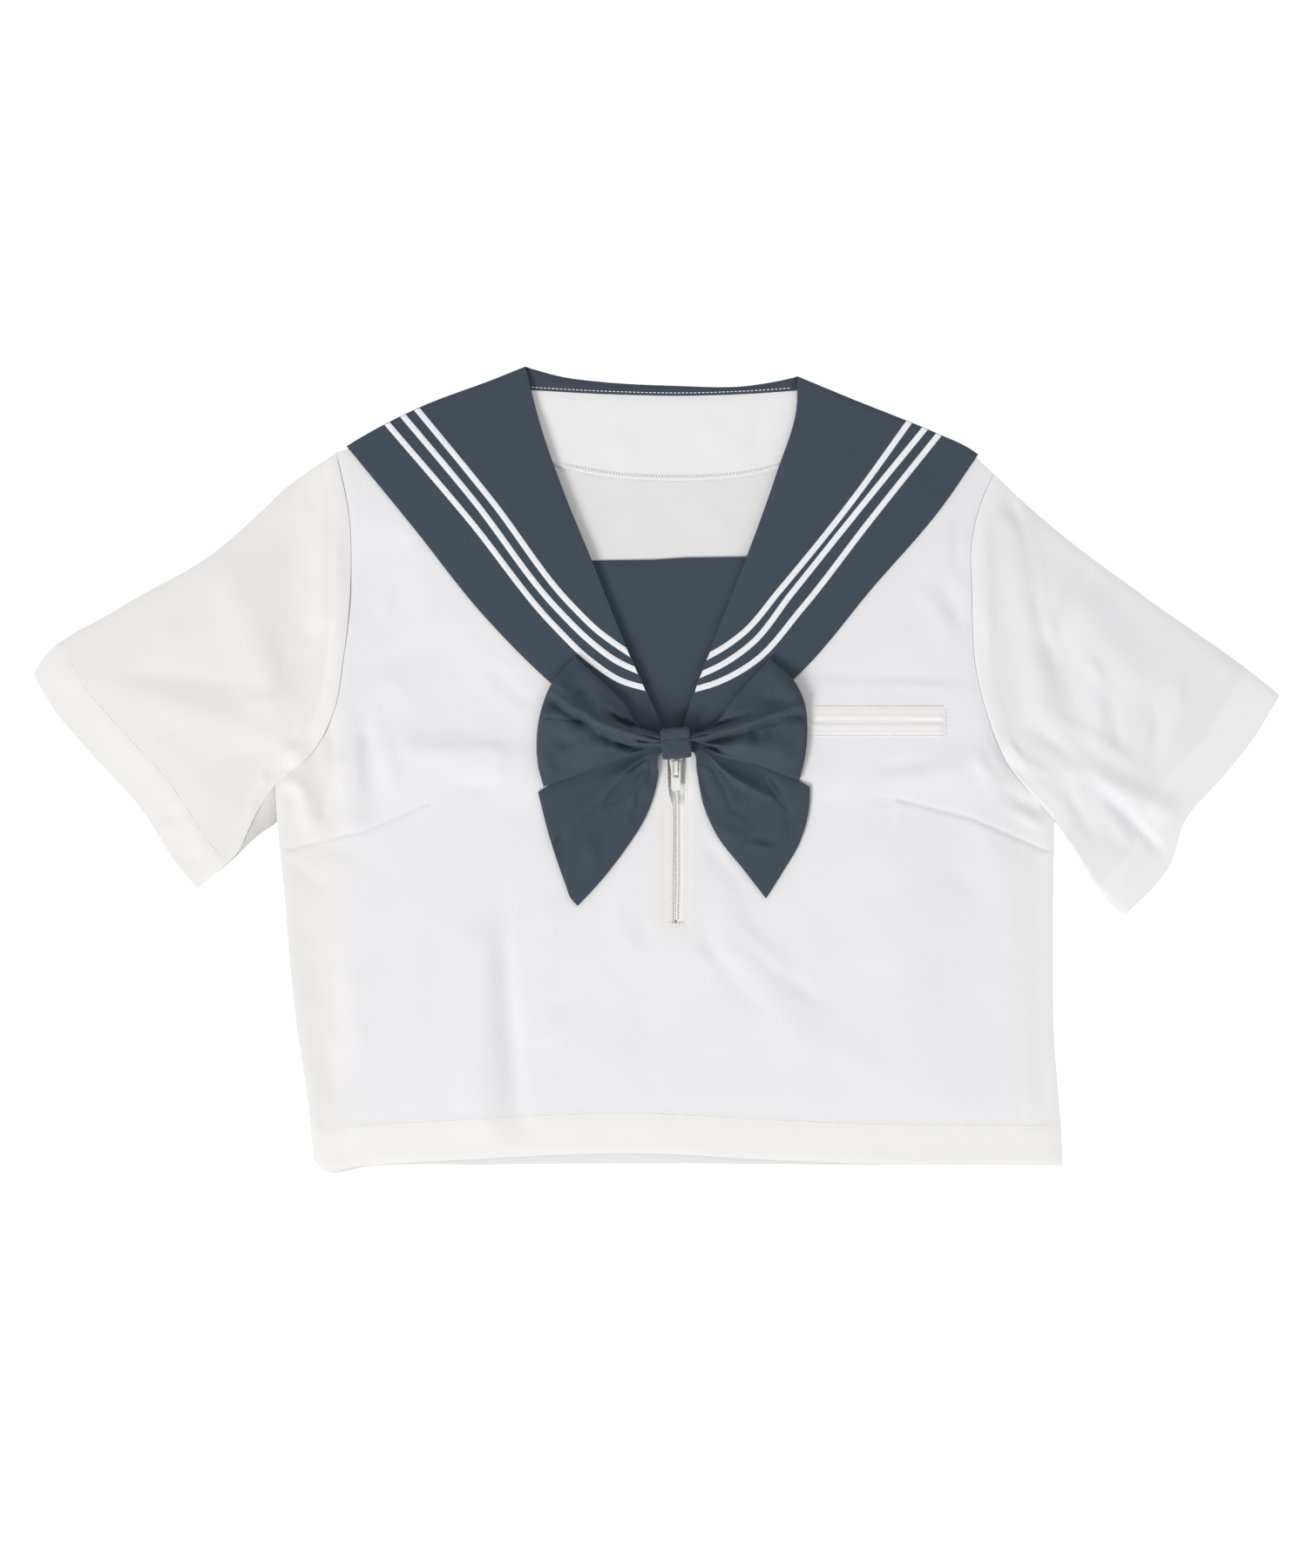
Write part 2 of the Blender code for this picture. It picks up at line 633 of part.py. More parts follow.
def build_front():
    """The front: one cut piece with a V neck, a slot for the zip and the pocket opening."""
    outline = np.concatenate(
        [
            edge("slot_right", 7)[::-1],
            moved(edge("roll_right", 12, 0.02, 0.97), (-150, 120), ROLL_DEPTH),
            moved(edge("shoulder_right", 8, 0.05, 1.0), (0, 0), SHOULDER_INSET),
            edge("armhole_right", 14),
            edge("side_right", 11)[1:-1],
            edge("front_hem", 22),
            edge("side_left", 11)[::-1][1:-1],
            edge("armhole_left", 14)[::-1],
            moved(edge("shoulder_left", 8, 0.05, 1.0), (0, 0), SHOULDER_INSET)[::-1],
            moved(edge("roll_left", 12, 0.02, 0.97), (150, 120), ROLL_DEPTH)[::-1],
            edge("slot_left", 7),
        ]
    )
    top = with_hem(front_top, "front_hem")
    lines = hem_lines("front_hem", 18.0)
    return sheet("front_panel", outline, 17.0, front_bottom, top, WHITE_CLOTH, lines, POCKET_OPENING)


def patch(first_edge, last_edge, start, end, shares):
    """Points that fill four edges: rows run from start to end, columns from first_edge to last_edge."""
    u = np.linspace(0.0, 1.0, len(start))[None, :, None]
    v = np.asarray(shares)[:, None, None]
    across = (1 - u) * first_edge[:, None] + u * last_edge[:, None]
    along = (1 - v) * start[None] + v * end[None]
    corners = (1 - v) * ((1 - u) * start[0] + u * start[-1]) + v * ((1 - u) * end[0] + u * end[-1])
    return across + along - corners


def cuffed(name, count):
    """Points along a sleeve edge with two close together where the cuff's hem starts, and their shares."""
    line = curve(EDGES[name])
    whole = length_along(line)[-1]
    body = np.linspace(0.0, 1.0 - CUFF_DEPTH / whole, count - 2)
    shares = np.concatenate([body, [1.0 - (CUFF_DEPTH - HEM_STEP) / whole, 1.0]])
    return at_shares(line, shares), shares


def sleeve_layer(fold_name, armhole_name, cuff_name, under_name, rows, columns):
    """Plan grid of one layer of a sleeve, from armhole to cuff, from upper fold to underarm."""
    fold, fold_shares = cuffed(fold_name, rows)
    under, under_shares = cuffed(under_name, rows)
    outward = np.sign(fold[-1, 0]) * 400.0
    armhole = moved(edge(armhole_name, columns), (outward, 0.0), SEAM_GAP)
    fold[0], under[0] = armhole[0], armhole[-1]
    return patch(fold, under, armhole, edge(cuff_name, columns), 0.5 * (fold_shares + under_shares))


def build_sleeve(side, rows=14, columns=14):
    """A flattened tube: a front and a back layer joined round the upper fold and the underarm."""
    under_front, under_back = UNDERARMS[side]
    fold, cuff = "sleeve_fold_" + side, "cuff_" + side
    front = sleeve_layer(fold, "armhole_" + side, cuff, under_front, rows, columns)
    back = sleeve_layer(fold, "back_armhole_" + side, cuff, under_back, rows, columns)
    hem_extra = np.zeros((rows, columns))
    hem_extra[-2:] = HEM_EXTRA
    outer, inner = [], []
    for r in range(rows):
        extra = hem_extra[r]
        front_outer = np.c_[front[r], front_top(front[r]) + extra]
        front_inner = np.c_[front[r], front_bottom(front[r])]
        back_outer = np.c_[back[r], back_bottom(back[r])]
        back_inner = np.c_[back[r], back_top(back[r])]
        outer_ring, inner_ring = [], []
        for grid_outer, grid_inner, order in ((front_outer, front_inner, 1), (back_outer, back_inner, -1)):
            ring_outer, ring_inner = grid_outer.copy(), grid_inner.copy()
            for end, neighbour in ((0, 1), (-1, -2)):
                way = ring_outer[neighbour, :2] - ring_outer[end, :2]
                way = way / np.linalg.norm(way)
                ring_outer[end, :2] += way * 0.5
                ring_inner[end, :2] += way * 1.5
            outer_ring.append(ring_outer[::order])
            inner_ring.append(ring_inner[::order])
        outer.append(np.concatenate(outer_ring))
        inner.append(np.concatenate(inner_ring))
    faces = grid_faces(rows, 2 * columns, ring=True)
    return shell("sleeve_" + side, np.concatenate(outer), np.concatenate(inner), faces, WHITE_CLOTH)


def strip(first, second):
    """Quads between two runs of point numbers of the same length."""
    return [(a, b, d, c) for a, b, c, d in zip(first, first[1:], second, second[1:])]


def build_collar():
    """One piece: two lapels, the band inside the neck and the back flap, folded over the shoulder edge."""
    folded = np.concatenate([edge("shoulder_right", 9)[::-1], edge("neck_top", 9)[1:-1], edge("shoulder_left", 9)])
    rim = moved(folded, (0, 0), FOLD_ROUND)
    neck = rim[8:17]
    shoulders = {"right": rim[8::-1], "left": rim[16:]}
    parts = []
    for side in ("right", "left"):
        lapel, roll = edge("lapel_" + side, 12)[1:], edge("roll_" + side, 12)[:-1]
        parts.append((np.concatenate([shoulders[side], lapel, roll]), lapel_top, lapel_bottom))
    parts.append((np.concatenate([neck, edge("band_seam", 9)[::-1]]), band_top, inlay_bottom))
    parts.append((np.concatenate([rim, np.array(FLAP_CORNERS)]), flap_outside, flap_inside))
    outer, inner, faces, first = [], [], [], []
    for outline, top, bottom in parts:
        plan, triangles = filled(outline, 24.0)
        start = sum(len(part) for part in outer)
        first.append(start)
        outer.append(lifted(plan, top))
        inner.append(lifted(plan, bottom))
        faces += [tuple(start + k for k in face) for face in triangles]
    top = lapel_top(rim)
    top[9:16] = band_top(rim[9:16])
    upper_start = sum(len(part) for part in outer)
    lower_start = upper_start + len(rim)
    just_outside = moved(rim, (0, 0), -0.1)
    outer += [np.c_[folded, top - 0.6], np.c_[folded, np.full(len(rim), 0.6)]]
    inner += [
        np.c_[just_outside, top - COLLAR_CLOTH - 0.1],
        np.c_[just_outside, np.full(len(rim), COLLAR_CLOTH + 0.1)],
    ]
    upper = list(range(upper_start, lower_start))
    lower = list(range(lower_start, lower_start + len(rim)))
    lapel_right, lapel_left, band, flap = (list(range(k, k + len(rim))) for k in first)
    faces += strip(upper, lower) + strip(lower, flap)
    faces += strip(lapel_right[8::-1], upper[:9]) + strip(band[:9], upper[8:17])
    faces += strip(lapel_left[:9], upper[16:])
    return shell("collar", np.concatenate(outer), np.concatenate(inner), faces, SLATE_CLOTH)


def build_facing():
    seam = edge("band_seam", 10) - (0.0, SEAM_GAP)
    ends = np.array(FACING_ENDS)
    outline = np.concatenate([edge("facing_hem", 12), ends[:1], seam[::-1], ends[1:]])
    return sheet("neck_facing", outline, 24.0, inlay_bottom, inlay_top, WHITE_CLOTH)


def build_insert():
    return sheet("chest_insert", np.array(INSERT), 24.0, inlay_bottom, inlay_top, SLATE_CLOTH)


def ribbon(name, first, second, bottom, top, kind):
    """A narrow piece between two side lines with the same number of points."""
    plan = np.concatenate([first, second])
    count = len(first)
    faces = [(k, k + 1, count + k + 1, count + k) for k in range(count - 1)]
    return shell(name, lifted(plan, top), lifted(plan, bottom), faces, kind)


def sides_of(line, width):
    """The two side lines of a strip along a centre line."""
    run = np.gradient(line, axis=0)
    run /= np.linalg.norm(run, axis=1, keepdims=True)
    half = np.stack([-run[:, 1], run[:, 0]], axis=1) * width / 2.0
    return line - half, line + half


def build_tapes(stations=22):
    """The tapes, cut along the lapel's edges at both ends."""
    for name, points in TAPES.items():
        outline = LAPEL_OUTLINES[name.split("_")[1]]
        fine = at_shares(curve(points), np.linspace(0.0, 1.0, 600))
        kept = [line[distance_to(line, outline) < -TAPE_INSET] for line in sides_of(fine, TAPE_WIDTH)]
        first, second = (at_shares(line, np.linspace(0.0, 1.0, stations)) for line in kept)
        ribbon(
            "collar_tape_" + name,
            first,
            second,
            lambda p: lapel_top(p) + TAPE_GAP,
            lambda p: lapel_top(p) + TAPE_GAP + TAPE_THICK,
            WHITE_TAPE,
        )


def build_welts():
    for welt in WELTS:
        x = np.linspace(welt.x0, welt.x1, 9)
        ribbon(
            welt.name,
            np.c_[x, np.full(9, welt.y_low)],
            np.c_[x, np.full(9, welt.y_high)],
            lambda p: front_top(p) + SEAM_GAP,
            lambda p: front_top(p) + SEAM_GAP + CLOTH,
            WHITE_CLOTH,
        )


def pleat_height(pleats, u, v):
    """Folds that run out from the knot and fade: u is 0 at the knot, v runs across."""
    total = 0.0
    for pleat in pleats:
        middle = pleat.across_knot + (pleat.across_end - pleat.across_knot) * min(u, 1.0)
        fade = smoothstep(1.0 - u / pleat.out) * smoothstep(u / 0.06)
        total += pleat.height * fade * np.exp(-(((v - middle) / pleat.width) ** 2))
    return total


def build_loop(side, rows=15, columns=21):
    """A bow loop: cloth folded back at its outer end and gathered where it enters the knot."""
    shares = np.linspace(0.0, 1.0, rows)
    top_edge = at_shares(curve(EDGES["loop_top_" + side]), shares)
    base_edge = at_shares(curve(EDGES["loop_base_" + side]), shares)
    start = np.linspace(top_edge[0], base_edge[0], columns)
    plan = patch(top_edge, base_edge, start, edge("loop_end_" + side, columns), shares)
    v = np.linspace(0.0, 1.0, columns)
    puffs = (LOOP_PUFF_KNOT, LOOP_PUFF_KNOT + 0.6, LOOP_PUFF_MIDDLE, LOOP_PUFF_END)
    puff_along = np.interp(shares, (0.0, 0.12, 0.5, 1.0), puffs)
    puff_across = 0.3 + 0.7 * smoothstep(np.minimum(v, 1.0 - v) / 0.25)
    upper, lower = [], []
    for r in range(rows):
        base = bow_level(plan[r], 1)
        least = base + BOW_CLOTH + LOOP_AIR
        raised = least + puff_along[r] * puff_across + pleat_height(LOOP_PLEATS[side], shares[r], v)
        lower.append(np.c_[plan[r], base])
        upper.append(np.c_[plan[r], np.maximum(raised, least) + BOW_CLOTH])
    middle_outer, middle_inner = upper[-1].copy(), upper[-1].copy()
    middle = 0.5 * (upper[-1][:, 2] + lower[-1][:, 2])
    outward = unit_from(plan[-2], plan[-1])
    middle_outer[:, :2] += outward * 0.6
    middle_inner[:, :2] -= outward * 0.4
    middle_outer[:, 2], middle_inner[:, 2] = middle, middle
    down, up = np.array([0.0, 0.0, -BOW_CLOTH]), np.array([0.0, 0.0, BOW_CLOTH])
    outer = np.array(upper + [middle_outer] + lower[::-1])
    inner = np.array([row + down for row in upper] + [middle_inner] + [row + up for row in lower[::-1]])
    faces = grid_faces(len(outer), columns)
    return shell("bow_loop_" + side, outer.reshape(-1, 3), inner.reshape(-1, 3), faces, SLATE_CLOTH)


def unit_from(a, b):
    way = b - a
    return way / np.linalg.norm(way, axis=1, keepdims=True)


def build_tail(side, rows=15, columns=13):
    """A bow tail: a pointed strip, folded lengthways where it leaves the knot."""
    shares = np.linspace(0.0, 1.0, rows)
    top_edge = at_shares(curve(EDGES["tail_top_" + side]), shares)
    base_edge = at_shares(curve(EDGES["tail_base_" + side]), shares)
    start = np.linspace(top_edge[0], base_edge[0], columns)
    plan = patch(top_edge, base_edge, start, edge("tail_end_" + side, columns), shares)
    v = np.linspace(0.0, 1.0, columns)
    loop_edges = [edge("loop_" + part + "_" + side, 12) for part in ("top", "end", "base")]
    loop = np.concatenate([*loop_edges[:2], loop_edges[2][::-1]])
    bottom = np.array([bow_level(row, 0) for row in plan])
    for r in range(rows):
        from_loop = smoothstep((distance_to(plan[r], loop) - 1.5) / 9.0)
        from_knot = smoothstep((distance_to(plan[r], KNOT_OUTLINE) - 1.0) / 6.0)
        bottom[r] += pleat_height(TAIL_PLEATS[side], shares[r], v) * from_loop * from_knot
    lower = np.concatenate([plan, bottom[:, :, None]], axis=2).reshape(-1, 3)
    upper = lower + (0.0, 0.0, BOW_CLOTH)
    return shell("bow_tail_" + side, upper, lower, grid_faces(rows, columns), SLATE_CLOTH)


def build_knot(rows=5, columns=20):
    """The band round the middle of the bow, open at both ends."""
    level = knot_bottom()
    turn = np.linspace(0.0, 2.0 * math.pi, columns, endpoint=False)
    rings = []
    for half_depth, half_height in (
        (KNOT_DEPTH / 2, KNOT_HEIGHT / 2),
        (KNOT_DEPTH / 2 - KNOT_WALL, KNOT_HEIGHT / 2 - KNOT_WALL),
    ):
        across = half_depth * np.sign(np.cos(turn)) * np.abs(np.cos(turn)) ** KNOT_SQUARENESS
        height = half_height * np.sign(np.sin(turn)) * np.abs(np.sin(turn)) ** KNOT_SQUARENESS
        ring = []
        for x in np.linspace(-KNOT_WIDTH / 2, KNOT_WIDTH / 2, rows):
            ring += [(*turned(x, a), level + KNOT_HEIGHT / 2 + h) for a, h in zip(across, height)]
        rings.append(np.array(ring))
    return shell("bow_knot", rings[0], rings[1], grid_faces(rows, columns, ring=True), SLATE_CLOTH)


def slab(name, outline, low, high, kind, origin=(0.0, 0.0, 0.0), window=None):
    """A flat piece between two heights, with an optional window."""
    plan, faces = filled(np.array(outline, float), 50.0, (), window)
    level = np.ones(len(plan))
    return shell(name, np.c_[plan, level * high], np.c_[plan, level * low], faces, kind, origin)


def zip_level():
    """The underside of the zip tapes, which lie flat between the layers."""
    middle = np.array([(ZIP_X, y) for y in np.linspace(ZIP_END_Y, ZIP_TOP_Y, 12)])
    return float(inlay_bottom(middle).max())


def build_zip_tapes():
    y = np.array([ZIP_END_Y - 4.0, -75.0, -60.0, -45.0, -35.0, -25.0, -18.0, -12.0, -7.0, -2.0, ZIP_TOP_Y])
    for side, way in (("right", -1.0), ("left", 1.0)):
        near = ZIP_TAPE_GAP + (ZIP_PARTED - ZIP_TAPE_GAP) * smoothstep((y + 12.0) / 6.0)
        inner = np.stack([ZIP_X + way * near, y], axis=1)
        outer = np.stack([np.full(len(y), ZIP_X + way * ZIP_TAPE_WIDTH), y], axis=1)
        sheet("zip_tape_" + side, np.concatenate([inner, outer[::-1]]), 30.0, inlay_bottom, inlay_top, WHITE_CLOTH)


def build_coil():
    y = np.linspace(COIL_TOP_Y, ZIP_END_Y, 16)
    ribbon(
        "zip_coil",
        np.c_[np.full(16, ZIP_X - COIL_WIDTH / 2), y],
        np.c_[np.full(16, ZIP_X + COIL_WIDTH / 2), y],
        lambda p: inlay_top(p) + 0.2,
        lambda p: inlay_top(p) + 0.2 + COIL_HEIGHT,
        WHITE_NYLON,
    )


def fused(name, pieces):
    """One solid from overlapping closed pieces."""
    body = pieces[0]
    for piece in pieces[1:]:
        piece.hide_render = True
        piece.display_type = "WIRE"
        join = body.modifiers.new("join", "BOOLEAN")
        join.operation = "UNION"
        join.solver = "EXACT"
        join.object = piece
    bpy.context.view_layer.update()
    mesh = bpy.data.meshes.new_from_object(body.evaluated_get(bpy.context.evaluated_depsgraph_get()))
    for piece in pieces:
        bpy.data.objects.remove(piece)
    mesh.name = name
    made = bpy.data.objects.new(name, mesh)
    bpy.context.scene.collection.objects.link(made)
    return made


def plate_outline(shrink=0.0):
    wide, nose = SLIDER_WIDTH / 2 - shrink, SLIDER_NOSE / 2 - shrink
    top, end = SLIDER_TOP_Y - shrink, SLIDER_END_Y + shrink
    half = [(wide, top), (wide, top - 4.5), (nose, end + 1.5), (nose - 1.2, end)]
    return [(ZIP_X - x, y) for x, y in half] + [(ZIP_X + x, y) for x, y in reversed(half)]


def slider_top():
    """The upper face of the slider's upper plate."""
    coil_top = zip_level() + CLOTH + 0.2 + COIL_HEIGHT
    return coil_top + 0.3 + PLATE_THICK


def crown_profile(grow):
    """Half of the crown's arch seen from the side: height over the plate along y."""
    y0, y1 = CROWN_END_Y - grow, CROWN_TOP_Y + grow
    high = CROWN_CLEAR + grow
    corner = 0.9 + grow
    return [(y0, 0.0), (y0, high - corner), (y0 + corner, high), (y1 - corner, high), (y1, high - corner), (y1, 0.0)]


def build_slider():
    """Two plates joined by a post, with the arch that holds the pull."""
    face = slider_top()
    bottom = zip_level()
    upper = slab("upper_plate", plate_outline(), face - PLATE_THICK, face, WHITE_ENAMEL)
    lower = slab("lower_plate", plate_outline(0.4), bottom, bottom + PLATE_THICK, WHITE_ENAMEL)
    post_top = SLIDER_TOP_Y - 0.6
    post = slab(
        "post",
        [
            (ZIP_X - POST_WIDTH / 2, post_top), (ZIP_X - 0.4, post_top - 6.0),
            (ZIP_X + 0.4, post_top - 6.0), (ZIP_X + POST_WIDTH / 2, post_top),
        ],
        bottom + 0.3,
        face - 0.3,
        WHITE_ENAMEL,
    )
    outline = crown_profile(CROWN_THICK)
    hollow = crown_profile(0.0)
    count = len(outline)
    points = []
    for x in (ZIP_X - CROWN_WIDTH / 2, ZIP_X + CROWN_WIDTH / 2):
        points += [(x, y, face - 0.4 if h == 0.0 else face + h) for y, h in outline]
        points += [(x, y, face - 0.4 if h == 0.0 else face + h) for y, h in hollow]
    faces = []
    for k in range(count - 1):
        a, b, c, d = k, k + 1, count + k + 1, count + k
        far_a, far_b, far_c, far_d = (2 * count + corner for corner in (a, b, c, d))
        faces += [(a, b, c, d), (far_d, far_c, far_b, far_a)]
        faces += [(b, a, far_a, far_b), (d, c, far_c, far_d)]
    for end in (0, count - 1):
        faces.append((end, count + end, 3 * count + end, 2 * count + end))
    crown = solid("crown", points, faces, WHITE_ENAMEL)
    fused("zip_slider", [upper, lower, post, crown])


def build_pull():
    """The tab: a plate with a window whose upper bar passes through the slider's arch."""
    half = PULL_WIDTH / 2
    top = PULL_PIVOT_Y + 0.5
    end = PULL_PIVOT_Y + 0.5 - PULL_LENGTH
    outline = [
        (ZIP_X - half, top), (ZIP_X - half, end + 1.2), (ZIP_X - half + 1.2, end),
        (ZIP_X + half - 1.2, end), (ZIP_X + half, end + 1.2), (ZIP_X + half, top),
    ]
    w = PULL_WINDOW / 2
    window = [
        (ZIP_X - w, top - 1.0), (ZIP_X - w, top - 1.0 - PULL_WINDOW_LENGTH),
        (ZIP_X + w, top - 1.0 - PULL_WINDOW_LENGTH), (ZIP_X + w, top - 1.0),
    ]
    middle = slider_top() + CROWN_CLEAR / 2
    origin = (ZIP_X, PULL_PIVOT_Y, middle)
    return slab("zip_pull", outline, middle - PULL_THICK / 2, middle + PULL_THICK / 2, WHITE_ENAMEL, origin, window)


def build():
    for item in list(bpy.data.objects):
        bpy.data.objects.remove(item)
    build_back()
    build_facing()
    build_insert()
    build_zip_tapes()
    build_coil()
    build_front()
    build_sleeve("right")
    build_sleeve("left")
    build_welts()
    build_collar()
    build_tapes()
    for side in ("right", "left"):
        build_tail(side)
        build_loop(side)
    build_knot()
    build_slider()
    build_pull()


build()
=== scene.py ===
"""Looks of a sailor uniform blouse that lies flat and face up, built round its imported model.

x runs across the garment (+x is the wearer's left), y from hem to neck, z up. Shapes are
worked out in millimetres and turned to metres in piece(). Cloth outlines and layer heights
repeat those of the solids.
"""

import math
from collections import namedtuple

import bmesh
import bpy
import numpy as np
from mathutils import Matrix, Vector
from mathutils.geometry import delaunay_2d_cdt


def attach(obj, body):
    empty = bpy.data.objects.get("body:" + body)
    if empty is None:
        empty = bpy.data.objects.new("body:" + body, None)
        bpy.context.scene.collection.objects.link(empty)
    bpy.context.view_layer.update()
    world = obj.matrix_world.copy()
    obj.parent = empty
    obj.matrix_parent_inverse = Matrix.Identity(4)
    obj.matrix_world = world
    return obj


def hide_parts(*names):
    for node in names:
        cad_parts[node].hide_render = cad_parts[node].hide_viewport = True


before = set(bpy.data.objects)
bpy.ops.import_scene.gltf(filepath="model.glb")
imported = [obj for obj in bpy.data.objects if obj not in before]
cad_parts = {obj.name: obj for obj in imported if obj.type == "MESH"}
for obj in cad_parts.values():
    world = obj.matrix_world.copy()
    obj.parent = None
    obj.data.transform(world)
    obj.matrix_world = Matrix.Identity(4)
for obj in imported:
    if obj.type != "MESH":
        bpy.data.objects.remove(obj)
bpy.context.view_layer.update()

MM = 0.001

# Cloth and how it is layered
CLOTH = 1.0
COLLAR_CLOTH = 1.2
SEAM_GAP = 0.3
STACK_GAP = 0.45
INLAY_ROOM = 1.6
HEM_EXTRA = 0.4
HEM_DEPTH = 26.0
CUFF_DEPTH = 25.0
LOFT = 1.5
LOFT_REACH = 45.0
COVER_MARGIN = 12.0
COVER_RAMP = 28.0
SHOULDER_INSET = 2.2

# Collar: the reach of its fold over the shoulder edge, and its tapes
FOLD_ROUND = 1.1
TAPE_WIDTH = 3.4
TAPE_INSET = 0.4

# Zip. Below the slider its lips close in, and the closed zip lies just under the front's surface
ZIP_X = 11.8
ZIP_TOP_Y = 12.0
ZIP_END_Y = -95.0
ZIP_TAPE_WIDTH = 11.0
ZIP_TAPE_GAP = 0.3
ZIP_PARTED = 4.8
ZIP_LIFT = 2.2
ZIP_LIP_INWARD = {"right": 1.7, "left": -0.2}
COIL_TOP_Y = -3.0
COIL_PITCH = 0.62
COIL_THREAD = 0.36

# Bow
BOW_CLOTH = 1.0
KNOT_X = 11.8
KNOT_Y = 15.5
KNOT_WIDTH = 17.9
KNOT_DEPTH = 18.8
KNOT_HEIGHT = 10.6
KNOT_WALL = 1.2
KNOT_TILT = math.radians(5.0)
KNOT_SQUARENESS = 0.36
KNOT_APPROACH = 12.0
KNOT_SEAM_Y = 18.6
LOOP_PUFF_KNOT = 2.3
LOOP_PUFF_MIDDLE = 7.5
LOOP_PUFF_END = 3.0

# The fine cloth: how thin it is, how its edge rounds off, and how strong its creases are
THIN = 0.55
EDGE_DIP = 0.45
EDGE_REACH = 3.0
COLLAR_WALL = 0.9
CREASE_DEPTH = 1.15
CREASE_WIDTH = 0.82
SLEEVE_CREASE_SHARE = 0.85
LOOP_FOLD_SHARE = 1.9
TAIL_FOLD_SHARE = 2.1

# Sewing: the darts, the lines beside the zip, and the pocket's mouth and stitched rectangle
DART_RIGHT = ((-226.0, -49.6), (-208.8, -44.8), (-178.8, -37.8), (-158.9, -29.2), (-141.2, -21.2))
DART_LEFT = ((245.8, -52.8), (193.8, -30.3), (148.2, -18.5))
PLACKET_XS = (5.1, 18.8)
POCKET_MOUTH_Y = 29.05
POCKET_ROWS = (((92.0, 38.0), (177.4, 38.0)), ((92.0, 20.0), (177.4, 20.0)), ((177.4, 20.0), (177.4, 38.0)))

# Under each lapel's lower end: slate cloth that runs on to the knot, partly the lapel's turned-in
# edge and partly a dark sheet standing in for the shadow between the lapels and the bow's loops
LAPEL_ENDS = {"right": ((-12.0, 22.0), (5.5, 20.0)), "left": ((40.0, 22.5), (15.5, 20.5))}
LAPEL_END_Y = 27.2

# How much light of each colour single cloth lets through, how doubled cloth yellows, and the
# painted shade of deep folds, of the sleeves' undersides and of the back
SINGLE_LAYER = np.array([0.035, 0.040, 0.030])
WARM = np.array([0.0, 0.008, 0.042])
SLEEVE_WARMTH = {"right": 0.6, "left": 0.1}
FOLD_SHADE = 0.42
UNDERSIDE_SHADE = 0.74
BACK_SHADE = 0.92

# The camera, straight above
CAMERA_X = -1.9
CAMERA_Y = -9.4
CAMERA_HEIGHT = 2000.0
PICTURE_HEIGHT = 964.8

